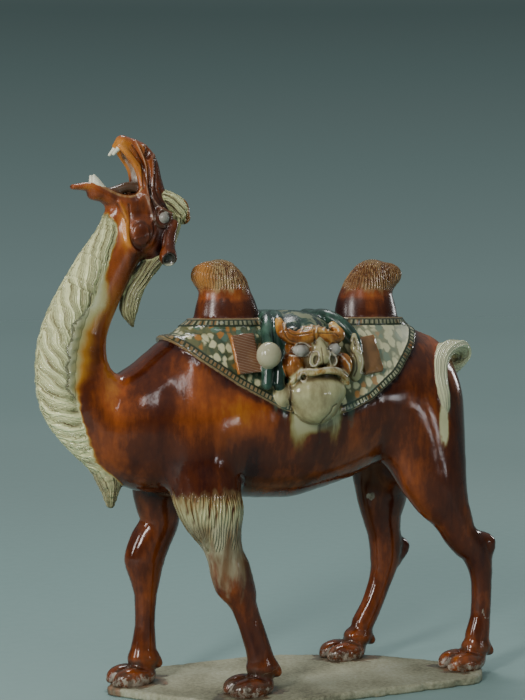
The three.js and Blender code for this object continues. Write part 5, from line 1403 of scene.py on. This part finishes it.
def clay():
    """Bare pale clay, dirty and worn, with glaze that has run onto it."""
    g = Graph("clay")
    broad, grain, fine = g.noise(9, 5, 0.6), g.noise(160, 5, 0.7), g.noise(900, 3, 0.6)
    tone = g.band(broad, 0.25, 0.75, -0.28, 0.26) + g.band(grain, 0.25, 0.75, -0.2, 0.25)
    colour = g.ramp(tone + g.band(fine, 0.2, 0.8, -0.08, 0.08) + 0.5, BARE)
    ragged = g.read("foot") + g.band(g.noise(26, 4, 0.6), 0.2, 0.8, -22, 22)
    spill = g.band(ragged, 2, 9, 1, 0)
    colour = g.mix(spill * 0.6, colour, g.ramp(g.band(g.noise(50, 3), 0.2, 0.8, 0.2, 0.75), AMBER))
    rough = g.band(grain, 0.3, 0.7, 0.75, 0.92) + spill * -0.5
    normal = g.bump(grain, 0.0005, 0.4, g.bump(broad, 0.002, 0.5))
    return g.finish(colour, rough, g.bump(fine, 0.0001, 0.3, normal))


def floor_finish():
    """A pale floor, painted darker near the figure and lighter further out to even out the lamps' light, and
    a little darker far away, to meet the backdrop.
    """
    g = Graph("floor")
    out = g.node("VectorMath", {0: g.place}, "Value", operation="LENGTH")
    # Painted shade: darker near the figure, where the lamps light the floor most, so that the floor looks
    # evenly lit.
    colour = g.mix(g.band(out, 0.8, 5.2), (0.255, 0.375, 0.355), (0.55, 0.715, 0.665))
    colour = g.mix(g.band(out, 8, 26), colour, (0.5, 0.65, 0.605))
    colour = g.mix(g.noise(6, 3), colour, g.mix(0.06, colour, (0.2, 0.25, 0.25)))
    rough = g.band(g.noise(40, 3), 0.3, 0.7, 0.55, 0.65)
    return g.finish(colour, rough, g.bump(g.noise(500, 2), 0.0002, 0.3))


# The camera that the photo was solved for: a 1600 px focal length over 700 px, in metres.
FOCAL = 1600
PHOTO_SIDE = 700
CAMERA_PLACE = (-1.2047, -2.31, 0.643)
CAMERA_TURN = math.radians(26.4)
CAMERA_DIP = math.atan(60 / FOCAL)
# Each lamp's place, the place that it points at, its width and height, its power and its colour.
LAMPS = {
    "key": ((-2.7, -2.0, 1.8), (-0.1, 0, 0.45), (0.5, 1.5), 70, (1, 0.97, 0.93)),
    "front": ((-0.6, -1.9, 2.25), (-0.25, 0, 0.5), (0.12, 0.8), 3.5, (1, 1, 1)),
    "side": ((1.15, -2.5, 0.55), (0.15, 0, 0.45), (0.06, 0.28), 1.4, (0.95, 0.98, 1)),
    "side_too": ((1.62, -2.2, 0.55), (0.15, 0, 0.45), (0.06, 0.28), 1.4, (0.95, 0.98, 1)),
    "top": ((0.2, 0.9, 2.7), (0, 0, 0.4), (1.0, 0.4), 26, (1, 1, 1)),
    "back": ((2.9, 0.7, 1.05), (0, 0, 0.6), (0.25, 0.5), 8, (1, 1, 1)),
    "left": ((-3.1, -0.5, 1.2), (-0.2, 0, 0.5), (0.35, 1.1), 20, (1, 0.98, 0.95)),
}
# The backdrop's colours, from the horizon up to the zenith.
SKY = [(0.0, (0.136, 0.193, 0.188)), (0.17, (0.055, 0.082, 0.08)), (0.6, (0.3, 0.34, 0.35))]


def set_camera():
    s, c = math.sin(CAMERA_TURN), math.cos(CAMERA_TURN)
    sp, cp = math.sin(CAMERA_DIP), math.cos(CAMERA_DIP)
    right, up, back = (c, -s, 0), (s * sp, c * sp, cp), (-s * cp, -c * cp, sp)
    data = bpy.data.cameras.new("camera")
    data.sensor_width = 36
    data.lens = FOCAL * data.sensor_width / PHOTO_SIDE
    data.clip_end = 50
    camera = linked("camera", data)
    camera.matrix_world = Matrix([*zip(right, up, back, CAMERA_PLACE), (0, 0, 0, 1)])
    bpy.context.scene.camera = camera


def add_lamp(name, place, aim, size, power, colour):
    data = bpy.data.lights.new(name, "AREA")
    data.shape = "RECTANGLE"
    data.size, data.size_y = size
    data.energy = power
    data.color = colour
    turn = (Vector(place) - Vector(aim)).to_track_quat("Z", "Y")
    linked(name, data).matrix_world = Matrix.Translation(place) @ turn.to_matrix().to_4x4()


def set_floor():
    data = bpy.data.meshes.new("floor")
    data.from_pydata([(-30, -30, 0), (30, -30, 0), (30, 30, 0), (-30, 30, 0)], [], [(0, 1, 2, 3)])
    data.materials.append(floor_finish())
    floor = linked("floor", data)
    floor.location.z = -0.0005


def set_backdrop():
    world = bpy.data.worlds.new("studio")
    world.use_nodes = True
    tree = world.node_tree
    up = tree.nodes.new("ShaderNodeSeparateXYZ")
    shade = tree.nodes.new("ShaderNodeValToRGB")
    shade.color_ramp.elements.new(0.18)
    for element, (place, colour) in zip(shade.color_ramp.elements, SKY):
        element.position = place
        element.color = (*colour, 1)
    tree.links.new(tree.nodes.new("ShaderNodeTexCoord").outputs["Generated"], up.inputs[0])
    tree.links.new(up.outputs[2], shade.inputs[0])
    tree.links.new(shade.outputs[0], tree.nodes["Background"].inputs["Color"])
    bpy.context.scene.world = world


def near_feet(slab):
    """How far each of the slab's points lies outside the glaze round the nearest foot, in millimetres."""
    at = points_of(slab) / UNIT
    gaps = [np.hypot((at[:, 0] - x - 0.2) / 1.25, at[:, 1] - y) for x, y in FEET.values()]
    return (np.min(gaps, 0) - GLAZE_ROUND_FOOT) * UNIT


set_camera()
set_floor()
set_backdrop()
for name, lamp in LAMPS.items():
    add_lamp(name, *lamp)
camel = make_figure()
give(camel, figure_values(camel))
camel.data.materials.append(glaze())
slab = make_slab()
give(slab, {"foot": near_feet(slab)})
slab.data.materials.append(clay())
for piece in (camel, slab):
    piece.data.shade_smooth()
    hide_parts("sancai_camel")
    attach(piece, "root")
bpy.context.view_layer.update()
